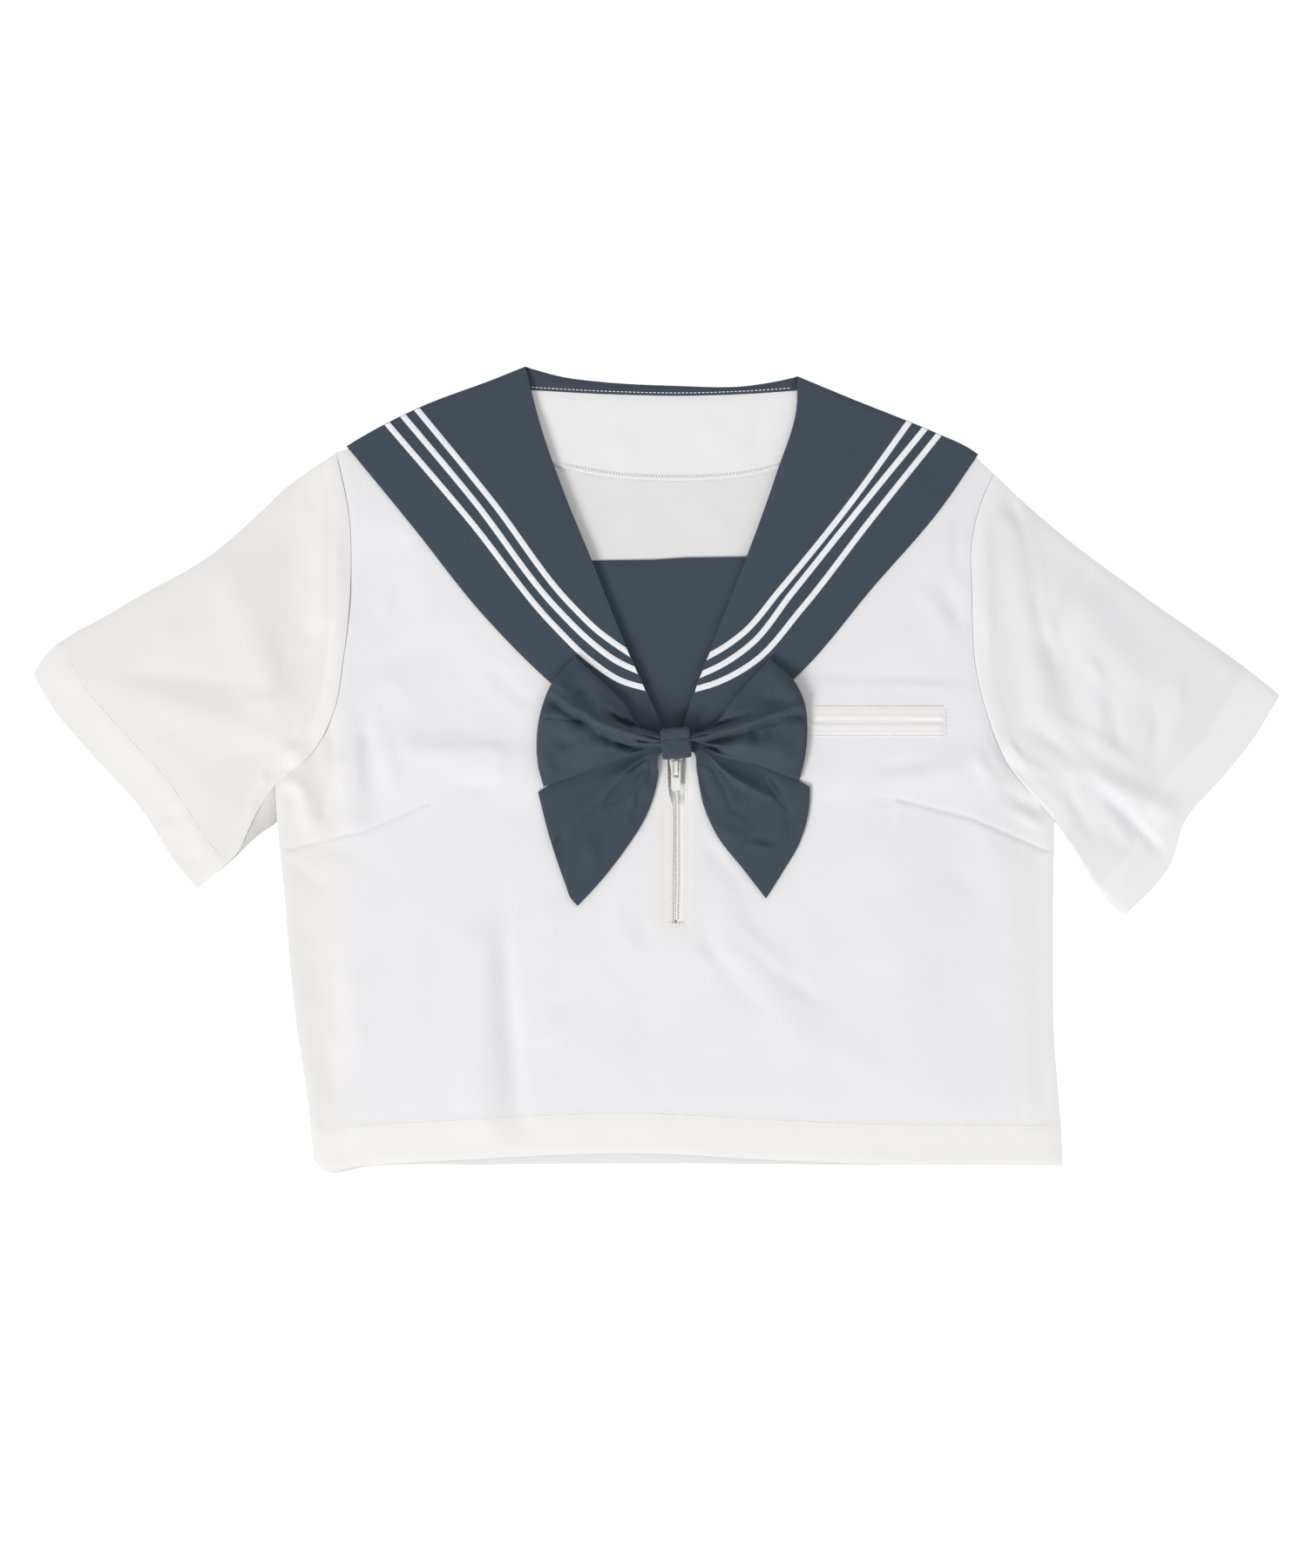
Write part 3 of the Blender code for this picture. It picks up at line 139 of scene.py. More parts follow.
# Edges of the cut pieces as they lie. "right" is the wearer's right, at -x.
EDGES = {
    "neck_top": (
        (-80.7, 247.4), (-56.6, 241.1), (-35.9, 238.5), (10.9, 235.9), (56.4, 235.9),
        (73.2, 238.5), (86.6, 241.4),
    ),
    "band_seam": ((-79.0, 233.3), (-28.0, 230.7), (17.4, 229.8), (66.7, 231.6), (86.0, 233.0)),
    "facing_hem": ((-98.0, 200.0), (-62.4, 186.5), (8.3, 177.4), (74.6, 184.7), (106.0, 198.0)),
    "shoulder_right": (
        (-80.7, 247.4), (-99.4, 239.9), (-147.3, 221.6), (-184.3, 202.3), (-190.6, 198.4),
    ),
    "shoulder_left": (
        (86.6, 241.4), (118.2, 228.3), (172.9, 206.1), (191.6, 197.5), (197.8, 193.4),
    ),
    "roll_right": (
        (3.5, 26.0), (-6.7, 48.7), (-21.4, 81.7), (-40.0, 128.5), (-56.5, 168.8),
        (-70.8, 209.3), (-80.7, 247.4),
    ),
    "roll_left": (
        (16.1, 26.9), (23.6, 49.4), (38.9, 88.2), (54.9, 129.2), (73.9, 182.2), (86.0, 222.0),
        (86.6, 241.4),
    ),
    "lapel_right": (
        (-190.6, 198.4), (-150.1, 149.0), (-106.4, 94.3), (-64.6, 52.3), (-47.4, 37.8),
        (-28.7, 28.6), (-11.0, 27.1),
    ),
    "lapel_left": (
        (197.8, 193.4), (174.7, 160.0), (133.7, 112.3), (83.8, 54.7), (67.8, 41.5),
        (51.7, 32.4), (37.5, 28.7),
    ),
    "armhole_right": (
        (-197.0, 194.8), (-188.9, 154.3), (-187.9, 120.0), (-192.9, 65.1),
        (-197.8, 37.3), (-206.7, 17.4), (-218.6, 3.0), (-235.6, -2.9),
    ),
    "armhole_left": (
        (207.2, 182.0), (198.6, 161.6), (193.8, 141.2), (193.8, 108.0),
        (197.0, 57.6), (204.0, 30.8), (215.2, 4.0), (245.2, -31.4),
    ),
    "back_armhole_right": (
        (-197.0, 194.8), (-195.0, 150.0), (-198.0, 100.0), (-208.0, 50.0), (-221.0, 5.0),
        (-234.0, -33.2),
    ),
    "back_armhole_left": (
        (207.2, 182.0), (203.0, 145.0), (204.0, 95.0), (212.0, 45.0), (226.0, 5.0),
        (245.2, -31.4),
    ),
    "side_right": (
        (-235.6, -2.9), (-233.8, -33.2), (-230.2, -69.9), (-223.4, -146.9), (-213.7, -216.8),
        (-211.5, -241.5),
    ),
    "side_left": (
        (245.2, -31.4), (244.3, -103.7), (244.9, -163.2), (249.2, -220.6), (250.3, -244.6),
    ),
    "front_hem": (
        (-211.5, -241.5), (-204.0, -247.6), (-186.8, -245.4), (-120.0, -241.0), (-7.2, -237.0),
        (70.0, -241.0), (147.0, -243.9), (250.3, -244.6),
    ),
    "back_hem": (
        (-211.5, -241.5), (-204.0, -248.3), (-178.0, -245.4), (-100.0, -244.2), (0.0, -243.4),
        (100.0, -244.2), (250.3, -244.6),
    ),
    "sleeve_fold_right": (
        (-197.0, 194.8), (-228.6, 173.1), (-246.4, 156.2), (-274.2, 132.4), (-331.7, 98.9),
        (-381.3, 63.5), (-384.0, 58.2),
    ),
    "sleeve_fold_left": (
        (207.2, 182.0), (216.3, 173.4), (247.0, 146.6), (304.4, 103.6), (371.4, 55.7),
        (384.0, 45.3),
    ),
    "cuff_right": (
        (-384.0, 58.2), (-373.3, 39.4), (-348.7, 9.5), (-318.8, -23.2), (-294.0, -60.8),
        (-283.1, -73.7),
    ),
    "cuff_left": (
        (384.0, 45.3), (367.6, 18.5), (350.3, -3.5), (325.5, -32.4), (315.9, -60.1),
        (289.1, -90.3),
    ),
    "under_front_right": (
        (-235.6, -2.9), (-246.4, -16.3), (-251.4, -30.1), (-255.4, -47.0), (-264.2, -57.0),
        (-283.1, -73.7),
    ),
    "under_back_right": ((-234.0, -33.2), (-245.4, -41.0), (-264.2, -58.9), (-283.1, -73.7)),
    "under_left": ((245.2, -31.4), (258.5, -52.3), (273.8, -76.4), (284.3, -87.6), (289.1, -90.3)),
    "loop_top_right": (
        (8.8, 20.6), (2.3, 21.7), (-12.3, 28.0), (-18.7, 39.6), (-31.5, 51.7), (-50.0, 68.6),
    ),
    "loop_top_left": (
        (14.8, 20.6), (21.2, 22.2), (38.3, 30.5), (44.2, 38.9), (56.3, 53.2), (69.4, 67.4),
    ),
    "loop_end_right": (
        (-50.0, 68.6), (-63.8, 53.2), (-70.6, 36.7), (-73.7, 15.5), (-72.9, 2.8),
        (-69.5, -11.0),
    ),
    "loop_end_left": (
        (69.4, 67.4), (84.2, 53.9), (90.9, 39.6), (92.5, 24.6), (90.2, 2.8), (87.5, -7.4),
    ),
    "loop_base_right": ((8.8, 11.4), (2.1, 13.1), (-20.9, 6.0), (-51.7, -4.8), (-69.5, -11.0)),
    "loop_base_left": ((14.8, 11.8), (22.5, 13.6), (40.5, 7.2), (62.3, 2.0), (87.5, -7.4)),
    "tail_top_right": ((9.5, 15.0), (-2.0, 15.0), (-22.0, 9.6), (-50.0, -1.0), (-72.9, -14.2)),
    "tail_top_left": ((14.4, 15.5), (25.0, 15.6), (45.0, 10.0), (70.0, 3.0), (94.3, -11.3)),
    "tail_end_right": (
        (-72.9, -14.2), (-66.8, -38.6), (-56.1, -70.9), (-52.5, -80.1), (-48.5, -84.4),
    ),
    "tail_end_left": ((94.3, -11.3), (93.9, -22.8), (87.8, -45.8), (77.0, -64.4), (67.3, -79.9)),
    "tail_base_right": (
        (9.5, 10.4), (2.0, 9.4), (1.0, -4.6), (-6.5, -29.2), (-19.5, -50.1), (-41.0, -76.6),
        (-48.5, -84.4),
    ),
    "tail_base_left": (
        (14.4, 10.2), (22.3, 10.2), (24.7, -1.9), (28.9, -22.8), (36.1, -39.3), (54.8, -63.7),
        (67.3, -79.9),
    ),
    "slot_right": ((6.6, 20.0), (6.8, 4.0), (7.0, -8.0), (8.2, -20.0), (8.4, -60.0), (8.2, -95.0)),
    "slot_left": (
        (18.6, 20.0), (18.4, 4.0), (17.6, -9.0), (17.0, -23.0), (17.2, -60.0), (16.6, -95.0),
    ),
}

# Underarm edges of each sleeve's front and back layer
UNDERARMS = {"right": ("under_front_right", "under_back_right"), "left": ("under_left", "under_left")}

# Lower corners of the collar's back flap, which lies hidden under the garment
FLAP_CORNERS = ((186.0, 10.0), (-176.0, 10.0))

# Centre lines of the tapes on the collar, past the shoulder and the rolled edge where they are cut
TAPES = {
    "outer_right": (
        (-169.9, 217.2), (-115.2, 153.1), (-62.6, 87.5), (-39.8, 65.7), (-22.5, 54.4),
        (-3.0, 48.5),
    ),
    "middle_right": (
        (-160.3, 222.3), (-111.8, 164.1), (-61.2, 98.4), (-37.5, 75.5), (-26.0, 67.0),
        (-7.0, 58.0),
    ),
    "inner_right": (
        (-151.1, 225.7), (-100.9, 164.1), (-53.0, 101.2), (-34.9, 83.7), (-23.5, 75.4),
        (-13.0, 68.5),
    ),
    "outer_left": (
        (177.4, 210.4), (130.3, 151.4), (89.2, 98.4), (59.3, 65.2), (36.7, 52.8), (18.0, 47.4),
    ),
    "middle_left": (
        (168.9, 214.0), (123.4, 158.2), (82.4, 107.0), (58.0, 76.5), (42.0, 65.0),
        (22.0, 55.5),
    ),
    "inner_left": (
        (158.8, 218.1), (116.6, 160.0), (75.6, 109.5), (53.0, 83.2), (42.0, 75.0),
        (27.0, 66.5),
    ),
}

# Chest insert, neck facing ends and the pocket's two welts
INSERT = ((-56.0, 128.0), (-2.0, 128.7), (18.7, 130.0), (72.0, 130.8), (28.0, 17.0), (-5.0, 17.0))
FACING_ENDS = ((104.0, 228.0), (-96.0, 234.0))
WELTS = (
    ("pocket_welt_upper", 80.0, 176.5, 29.2, 38.6),
    ("pocket_welt_lower", 80.0, 176.5, 19.6, 28.9),
)

# The main folds of the upper layer: a soft ridge, or a trough where the height is below zero
Fold = namedtuple("Fold", "name x0 y0 x1 y1 height reach")
FOLDS = (
    Fold("cap_right", -201, 165, -206, 95, 1.6, 9),
    Fold("cap_trough_right", -226, 150, -222, 70, -1.1, 10),
    Fold("sleeve_long_right", -262, 120, -236, 45, 1.5, 14),
    Fold("sleeve_low_right", -300, 40, -235, 20, 1.4, 12),
    Fold("underarm_pull_right", -222, 10, -214, -30, 1.8, 8),
    Fold("underarm_second_right", -192, 2, -187, -32, 1.4, 8),
    Fold("chest_diagonal_right", -160, 55, -128, 100, 1.3, 12),
    Fold("chest_cross_right", -150, 12, -100, 4, 1.4, 9),
    Fold("side_trough_right", -208, -75, -200, -190, -1.0, 11),
    Fold("hem_trough_right", -92, -120, -86, -215, -1.2, 11),
    Fold("hem_ridge_right", -112, -110, -108, -215, 1.2, 14),
    Fold("zip_pull_right", -30, -115, -60, -165, 1.1, 10),
    Fold("zip_pull_left", 52, -115, 90, -165, 1.1, 12),
    Fold("cap_left", 222, 148, 238, 40, 1.8, 10),
    Fold("cap_trough_left", 242, 95, 262, 20, -1.2, 9),
    Fold("sleeve_middle_left", 292, 60, 262, 100, 1.4, 13),
    Fold("cuff_ridge_left", 262, -2, 318, -28, 2.2, 8),
    Fold("cuff_trough_left", 268, -28, 312, -56, -1.4, 9),
    Fold("chest_cross_left", 160, -4, 205, 6, 1.0, 9),
    Fold("side_ridge_left", 222, -60, 226, -205, 1.1, 12),
    Fold("belly_left", 150, -60, 165, -190, 1.3, 26),
)


def smoothstep(t):
    t = np.clip(t, 0.0, 1.0)
    return t * t * (3.0 - 2.0 * t)


def bell(distance, reach):
    """1 where the distance is none, falling smoothly to 0 past the reach."""
    return np.exp(-((distance / reach) ** 2))


def curve(points, per_span=24):
    """A fine line of points on a smooth curve through the given ones."""
    p = np.array(points, float)
    t = np.concatenate([[0.0], np.cumsum(np.linalg.norm(np.diff(p, axis=0), axis=1))])
    slope = np.gradient(p, t, axis=0)
    fine = [p[:1]]
    for i in range(len(p) - 1):
        s = np.linspace(0.0, 1.0, per_span + 1)[1:, None]
        span = t[i + 1] - t[i]
        fine.append(
            (2 * s**3 - 3 * s**2 + 1) * p[i]
            + (s**3 - 2 * s**2 + s) * span * slope[i]
            + (3 * s**2 - 2 * s**3) * p[i + 1]
            + (s**3 - s**2) * span * slope[i + 1]
        )
    return np.concatenate(fine)


def length_along(line):
    return np.concatenate([[0.0], np.cumsum(np.linalg.norm(np.diff(line, axis=0), axis=1))])


def at_shares(line, shares):
    """Points of a line at these shares of its length."""
    run = length_along(line)
    wanted = np.asarray(shares) * run[-1]
    return np.stack([np.interp(wanted, run, line[:, k]) for k in range(2)], axis=1)


def edge(name, count, start=0.0, end=1.0):
    """Evenly spaced points of a named edge, or of the part between two shares of it."""
    return at_shares(curve(EDGES[name]), np.linspace(start, end, count))


def moved(line, towards, distance):
    """A line in plan moved sideways, to the side where the point towards lies."""
    run = np.gradient(line, axis=0)
    run /= np.linalg.norm(run, axis=1, keepdims=True)
    normal = np.stack([-run[:, 1], run[:, 0]], axis=1)
    side = np.sign(np.sum(normal * (np.asarray(towards) - line), axis=1, keepdims=True))
    return line + normal * side * distance


def distance_to(points, outline):
    """Distance from each point to a closed outline, below zero inside it."""
    p = np.asarray(points, float).reshape(-1, 1, 2)
    a = np.asarray(outline, float)
    b = np.roll(a, -1, axis=0)
    run = b - a
    share = np.clip(np.sum((p - a) * run, axis=2) / np.maximum(np.sum(run * run, axis=1), 1e-9), 0.0, 1.0)
    gap = np.linalg.norm(p - (a + share[:, :, None] * run), axis=2).min(axis=1)
    above = (a[:, 1] > p[:, :, 1]) != (b[:, 1] > p[:, :, 1])
    crossing = a[:, 0] + (p[:, :, 1] - a[:, 1]) * run[:, 0] / np.where(run[:, 1] == 0, 1e-9, run[:, 1])
    inside = (np.sum(above & (p[:, :, 0] < crossing), axis=1) % 2) == 1
    return np.where(inside, -gap, gap)


def turned(x, y):
    """A point given from the middle of the knot, turned with it."""
    c, s = math.cos(KNOT_TILT), math.sin(KNOT_TILT)
    return (KNOT_X + c * x - s * y, KNOT_Y + s * x + c * y)


GARMENT_OUTLINE = np.concatenate(
    [
        edge("neck_top", 10), edge("shoulder_left", 10), edge("sleeve_fold_left", 10),
        edge("cuff_left", 10), edge("under_left", 8)[::-1], edge("side_left", 8),
        edge("back_hem", 12)[::-1], edge("side_right", 8)[::-1],
        edge("under_back_right", 8), edge("cuff_right", 10)[::-1], edge("sleeve_fold_right", 10)[::-1],
        edge("shoulder_right", 10)[::-1],
    ]
)
COLLAR_OUTLINE = np.concatenate(
    [
        edge("neck_top", 10), edge("shoulder_left", 10), edge("lapel_left", 12),
        edge("lapel_right", 12)[::-1], edge("shoulder_right", 10)[::-1],
    ]
)
FLAP_OUTLINE = np.concatenate(
    [edge("neck_top", 8), edge("shoulder_left", 6), np.array(FLAP_CORNERS), edge("shoulder_right", 6)[::-1]]
)
LAPEL_OUTLINES = {
    side: np.concatenate(
        [edge("shoulder_" + side, 12), edge("lapel_" + side, 16)[1:], edge("roll_" + side, 16)[:-1]]
    )
    for side in ("right", "left")
}
ZIP_OUTLINE = np.array(
    [
        (ZIP_X + across * (ZIP_TAPE_WIDTH + 1.0), along)
        for across, along in ((-1, ZIP_TOP_Y), (1, ZIP_TOP_Y), (1, ZIP_END_Y - 4.0), (-1, ZIP_END_Y - 4.0))
    ]
)
KNOT_OUTLINE = np.array(
    [turned(a * KNOT_WIDTH / 2, b * KNOT_DEPTH / 2) for a, b in ((-1, -1), (1, -1), (1, 1), (-1, 1))]
)


def cover(points, outline):
    """1 over an outline and a little past it, falling smoothly to 0 further out."""
    return smoothstep(1.0 - (distance_to(points, outline) - COVER_MARGIN) / COVER_RAMP)


def fold_height(points):
    """The main folds, fading out under the collar and at the garment's outer edge."""
    p = np.asarray(points, float).reshape(-1, 2)
    total = np.zeros(len(p))
    for fold in FOLDS:
        a, b = np.array([fold.x0, fold.y0], float), np.array([fold.x1, fold.y1], float)
        run = b - a
        share = np.clip((p - a) @ run / (run @ run), 0.0, 1.0)
        gap = np.linalg.norm(p - (a + share[:, None] * run), axis=1)
        total += fold.height * bell(gap, fold.reach)
    inside = smoothstep(-distance_to(p, GARMENT_OUTLINE) / 20.0)
    return total * inside * (1.0 - cover(p, COLLAR_OUTLINE))


def back_bottom(points):
    """The underside of the back layer: it lies on the surface, and over the collar's flap."""
    return cover(points, FLAP_OUTLINE) * (COLLAR_CLOTH + SEAM_GAP)


def back_top(points):
    return back_bottom(points) + CLOTH


def inlay_bottom(points):
    """The underside of what lies between back and front: facing, insert and zip tapes."""
    return back_top(points) + SEAM_GAP


def inlay_top(points):
    return inlay_bottom(points) + CLOTH


def front_bottom(points):
    """The underside of the front layer, with room for the inlay and some air under it."""
    room = np.maximum(cover(points, COLLAR_OUTLINE), cover(points, ZIP_OUTLINE)) * INLAY_ROOM
    loft = LOFT * smoothstep(-distance_to(points, GARMENT_OUTLINE) / LOFT_REACH)
    return back_top(points) + SEAM_GAP + room + np.maximum(loft + fold_height(points), 0.0)


def front_top(points):
    return front_bottom(points) + CLOTH


def lapel_bottom(points):
    return front_top(points) + STACK_GAP


def lapel_top(points):
    return lapel_bottom(points) + COLLAR_CLOTH


def band_top(points):
    return inlay_bottom(points) + COLLAR_CLOTH


def flap_outside(points):
    return np.zeros(len(points))


def bow_rest(points):
    """What the bow lies on: the front, and the collar where it is near."""
    return front_top(points) + STACK_GAP + cover(points, COLLAR_OUTLINE) * (COLLAR_CLOTH + STACK_GAP)


def knot_bottom():
    return float(bow_rest(np.vstack([KNOT_OUTLINE, [(KNOT_X, KNOT_Y)]])).max())


def bow_level(points, layers):
    """The underside of a bow piece with some cloth layers below it, raised where it enters the knot."""
    near = smoothstep(1.0 - (distance_to(points, KNOT_OUTLINE) - 1.0) / KNOT_APPROACH)
    stack = layers * (BOW_CLOTH + SEAM_GAP)
    return (1.0 - near) * bow_rest(points) + near * (knot_bottom() + KNOT_WALL + SEAM_GAP) + stack


# Creases that the hand leaves in laid-out cloth. Each runs through a middle point; height is
# above the cloth (below zero for a trough), left and right its reach on either side
Crease = namedtuple("Crease", "x0 y0 x1 y1 x2 y2 height left right")
FRONT_CREASES = (
    Crease(-149, 147, -170, 120, -190, 85, -1.3, 7, 12),
    Crease(-158, 152, -146, 142, -142, 128, 0.5, 6, 8),
    Crease(-168, 122, -165, 105, -170, 92, 0.5, 5, 8),
    Crease(-192, 57, -150, 70, -104, 86, -0.8, 12, 14),
    Crease(-101, 62, -90, 50, -76, 40, -1.0, 8, 6),
    Crease(-145, 10, -115, 14, -84, 8, 0.9, 5, 7),
    Crease(-138, -8, -115, -12, -90, -10, -0.8, 8, 10),
    Crease(-205, 30, -199, 12, -200, -20, -1.1, 5, 5),
    Crease(-179, 28, -176, 8, -172, -22, -1.3, 5, 8),
    Crease(-188, 34, -184, 16, -183, -16, 0.9, 3, 6),
    Crease(-167, 22, -163, 4, -160, -18, 0.7, 4, 6),
    Crease(-232, -6, -219, -12, -215, -26, 1.4, 4, 6),
    Crease(-222, -5, -228, -16, -229, -34, 0.8, 3, 4),
    Crease(-206, -8, -204, -22, -207, -34, -1.0, 3, 4),
    Crease(-225, -52, -200, -48, -176, -58, -0.5, 5, 7),
    Crease(-222, -60, -214, -66, -210, -74, -0.6, 4, 5),
    Crease(-214, -84, -210, -120, -206, -152, -0.9, 8, 12),
    Crease(-208, -160, -202, -182, -200, -210, -0.8, 6, 9),
    Crease(-186, -110, -184, -150, -182, -190, 0.5, 9, 12),
    Crease(-150, -62, -148, -120, -152, -200, 0.5, 14, 18),
    Crease(-93, -76, -91, -136, -85, -214, -1.1, 5, 9),
    Crease(-103, -82, -102, -140, -98, -204, 0.5, 8, 9),
    Crease(-10, -90, -6, -106, -2, -122, -0.5, 7, 6),
    Crease(-22, -82, -22, -98, -14, -112, 0.5, 6, 8),
    Crease(-28, -120, -48, -138, -66, -156, -0.9, 6, 9),
    Crease(2, -146, -8, -164, -18, -178, -0.6, 7, 9),
    Crease(30, -100, 40, -120, 66, -150, -0.9, 8, 6),
    Crease(48, -92, 66, -112, 92, -142, 0.8, 6, 8),
    Crease(56, -108, 76, -126, 106, -146, -0.9, 6, 6),
    Crease(30, -42, 42, -60, 58, -80, -0.8, 6, 7),
    Crease(88, 60, 140, 57, 192, 56, -0.6, 3, 5),
    Crease(90, 52, 140, 53, 196, 48, 0.5, 3, 4),
    Crease(132, 0, 150, 3, 176, 6, -0.8, 4, 6),
    Crease(146, -16, 140, -20, 134, -18, -0.9, 3, 4),
    Crease(154, -22, 148, -26, 150, -34, 0.6, 3, 3),
    Crease(112, -14, 107, -20, 100, -18, -0.5, 4, 5),
    Crease(176, 120, 182, 100, 192, 84, -0.9, 7, 5),
    Crease(192, 166, 184, 140, 188, 118, -0.9, 6, 4),
    Crease(160, 110, 172, 98, 178, 78, 0.7, 6, 8),
    Crease(206, 30, 214, 12, 226, -8, -1.1, 5, 4),
    Crease(196, 12, 204, -4, 222, -22, 1.1, 5, 6),
    Crease(196, -28, 206, -50, 214, -74, 0.5, 8, 10),
    Crease(208, -10, 224, -19, 243, -27, -1.5, 3, 4),
    Crease(214, -24, 228, -30, 243, -38, 1.2, 3, 4),
    Crease(180, -56, 190, -70, 206, -90, -0.4, 8, 9),
    Crease(126, -72, 134, -100, 132, -128, 0.4, 14, 18),
    Crease(-86, -100, -70, -90, -56, -92, 0.5, 10, 10),
    Crease(-60, -108, -30, -128, -12, -138, 0.4, 10, 12),
    Crease(100, -160, 140, -190, 170, -205, 0.4, 14, 16),
    Crease(-40, -170, -20, -190, -6, -205, 0.4, 10, 12),
)
RIGHT_SLEEVE_CREASES = (
    Crease(-211, 174, -212, 160, -210, 150, -0.9, 5, 4),
    Crease(-212, 132, -211, 100, -214, 72, -1.2, 5, 9),
    Crease(-236, 98, -230, 66, -226, 44, -0.8, 8, 6),
    Crease(-198, 160, -197, 110, -200, 62, 1.0, 6, 4),
    Crease(-333, 60, -290, 56, -248, 50, -0.9, 7, 9),
    Crease(-248, 50, -236, 46, -226, 38, -0.7, 6, 6),
    Crease(-260, 36, -240, 42, -214, 40, 0.7, 7, 7),
    Crease(-228, 22, -222, 17, -214, 14, -0.8, 6, 7),
    Crease(-270, 4, -240, 14, -216, 22, -0.6, 6, 9),
    Crease(-252, -34, -246, -14, -236, 0, 1.3, 4, 5),
    Crease(-308, 92, -300, 84, -292, 80, 0.4, 9, 9),
    Crease(-306, -33, -294, -27, -280, -24, -0.5, 5, 5),
    Crease(-300, -62, -290, -56, -280, -54, -0.5, 5, 5),
    Crease(-280, 74, -264, 96, -258, 120, 0.5, 12, 14),
    Crease(-330, 34, -300, 10, -290, -6, 0.4, 9, 11),
)
LEFT_SLEEVE_CREASES = (
    Crease(215, 172, 224, 150, 232, 118, -1.5, 4, 7),
    Crease(232, 118, 236, 92, 246, 60, -1.8, 4, 8),
    Crease(252, 120, 244, 96, 240, 72, 1.4, 6, 7),
    Crease(268, 132, 260, 112, 250, 92, -0.8, 8, 6),
    Crease(262, 74, 274, 48, 270, 20, 1.2, 5, 7),
    Crease(270, 52, 282, 32, 284, 10, -1.0, 5, 7),
    Crease(302, 46, 308, 22, 298, 0, -1.3, 7, 5),
    Crease(318, 60, 322, 40, 316, 16, 0.8, 6, 8),
    Crease(228, 26, 254, 8, 276, -22, -1.5, 6, 6),
    Crease(240, 34, 268, 20, 300, -2, 1.2, 5, 8),
    Crease(262, -18, 282, -32, 296, -58, 0.9, 5, 5),
    Crease(270, -8, 290, -28, 306, -46, -1.3, 4, 5),
    Crease(282, -22, 300, -38, 312, -52, -1.6, 3, 6),
    Crease(246, -4, 258, -22, 272, -48, -0.8, 5, 5),
    Crease(208, 14, 218, 2, 232, -8, -1.2, 4, 4),
    Crease(214, 20, 226, 6, 240, -2, 1.0, 3, 4),
    Crease(203, 150, 203, 110, 206, 70, 1.1, 5, 8),
    Crease(336, 74, 350, 60, 356, 44, 0.4, 8, 8),
)
SLEEVE_CREASES = {"right": RIGHT_SLEEVE_CREASES, "left": LEFT_SLEEVE_CREASES}
COLLAR_CREASES = (
    Crease(-150, 190, -120, 160, -96, 120, 0.35, 14, 18),
    Crease(-70, 190, -60, 160, -48, 130, -0.3, 8, 10),
    Crease(160, 190, 130, 150, 100, 110, 0.35, 14, 18),
    Crease(80, 190, 66, 150, 50, 110, -0.3, 8, 10),
)
BACK_CREASES = (
    Crease(-40, 172, -30, 156, -26, 138, -0.5, 8, 10),
    Crease(0, 176, 6, 156, 22, 140, -0.6, 6, 9),
    Crease(30, 174, 36, 156, 50, 144, 0.4, 6, 8),
    Crease(-60, 160, -50, 150, -46, 140, 0.4, 7, 8),
    Crease(-120, -120, -60, -150, -20, -130, -0.5, 16, 20),
    Crease(80, -60, 120, -110, 140, -190, 0.5, 16, 20),
    Crease(-160, -40, -150, -110, -170, -190, 0.5, 14, 18),
    Crease(20, -60, 30, -120, 10, -190, -0.4, 16, 18),
)
FACING_CREASES = (
    Crease(-66, 222, -64, 208, -60, 196, -0.5, 4, 6),
    Crease(-22, 228, -24, 208, -18, 190, 0.3, 8, 10),
    Crease(66, 226, 62, 208, 58, 194, -0.4, 5, 6),
    Crease(30, 224, 34, 206, 36, 192, 0.3, 7, 8),
)


def crease_height(points, creases):
    """Soft ridges and troughs along bent lines, uneven along their length."""
    p = np.asarray(points, float).reshape(-1, 2)
    total = np.zeros(len(p))
    for number, c in enumerate(creases):
        t = np.linspace(0.0, 1.0, 13)[:, None]
        a, b, d = np.array([c.x0, c.y0]), np.array([c.x1, c.y1]), np.array([c.x2, c.y2])
        control = 2.0 * b - 0.5 * (a + d)
        line = (1 - t) ** 2 * a + 2 * t * (1 - t) * control + t**2 * d
        reach = 3.0 * max(c.left, c.right)
        near = np.all((p > line.min(axis=0) - reach) & (p < line.max(axis=0) + reach), axis=1)
        if not near.any():
            continue
        q = p[near][:, None]
        run = line[1:] - line[:-1]
        share = np.clip(np.sum((q - line[:-1]) * run, axis=2) / np.sum(run * run, axis=1), 0.0, 1.0)
        away = q - (line[:-1] + share[:, :, None] * run)
        gaps = np.linalg.norm(away, axis=2)
        nearest = gaps.argmin(axis=1)
        rows = np.arange(len(nearest))
        gap = gaps[rows, nearest]
        side = run[nearest, 0] * away[rows, nearest, 1] - run[nearest, 1] * away[rows, nearest, 0]
        along = (nearest + share[rows, nearest]) / len(run)
        wander = 1.0 + 0.18 * np.sin(9.0 * along + number)
        width = CREASE_WIDTH * np.where(side > 0, c.left, c.right) * wander
        ends = smoothstep(along / 0.3) * smoothstep((1.0 - along) / 0.3)
        uneven = 0.8 + 0.25 * np.sin(7.0 * along + 1.7 * number)
        total[near] += c.height * uneven * bell(gap, width) * (0.25 + 0.75 * ends)
    return CREASE_DEPTH * total


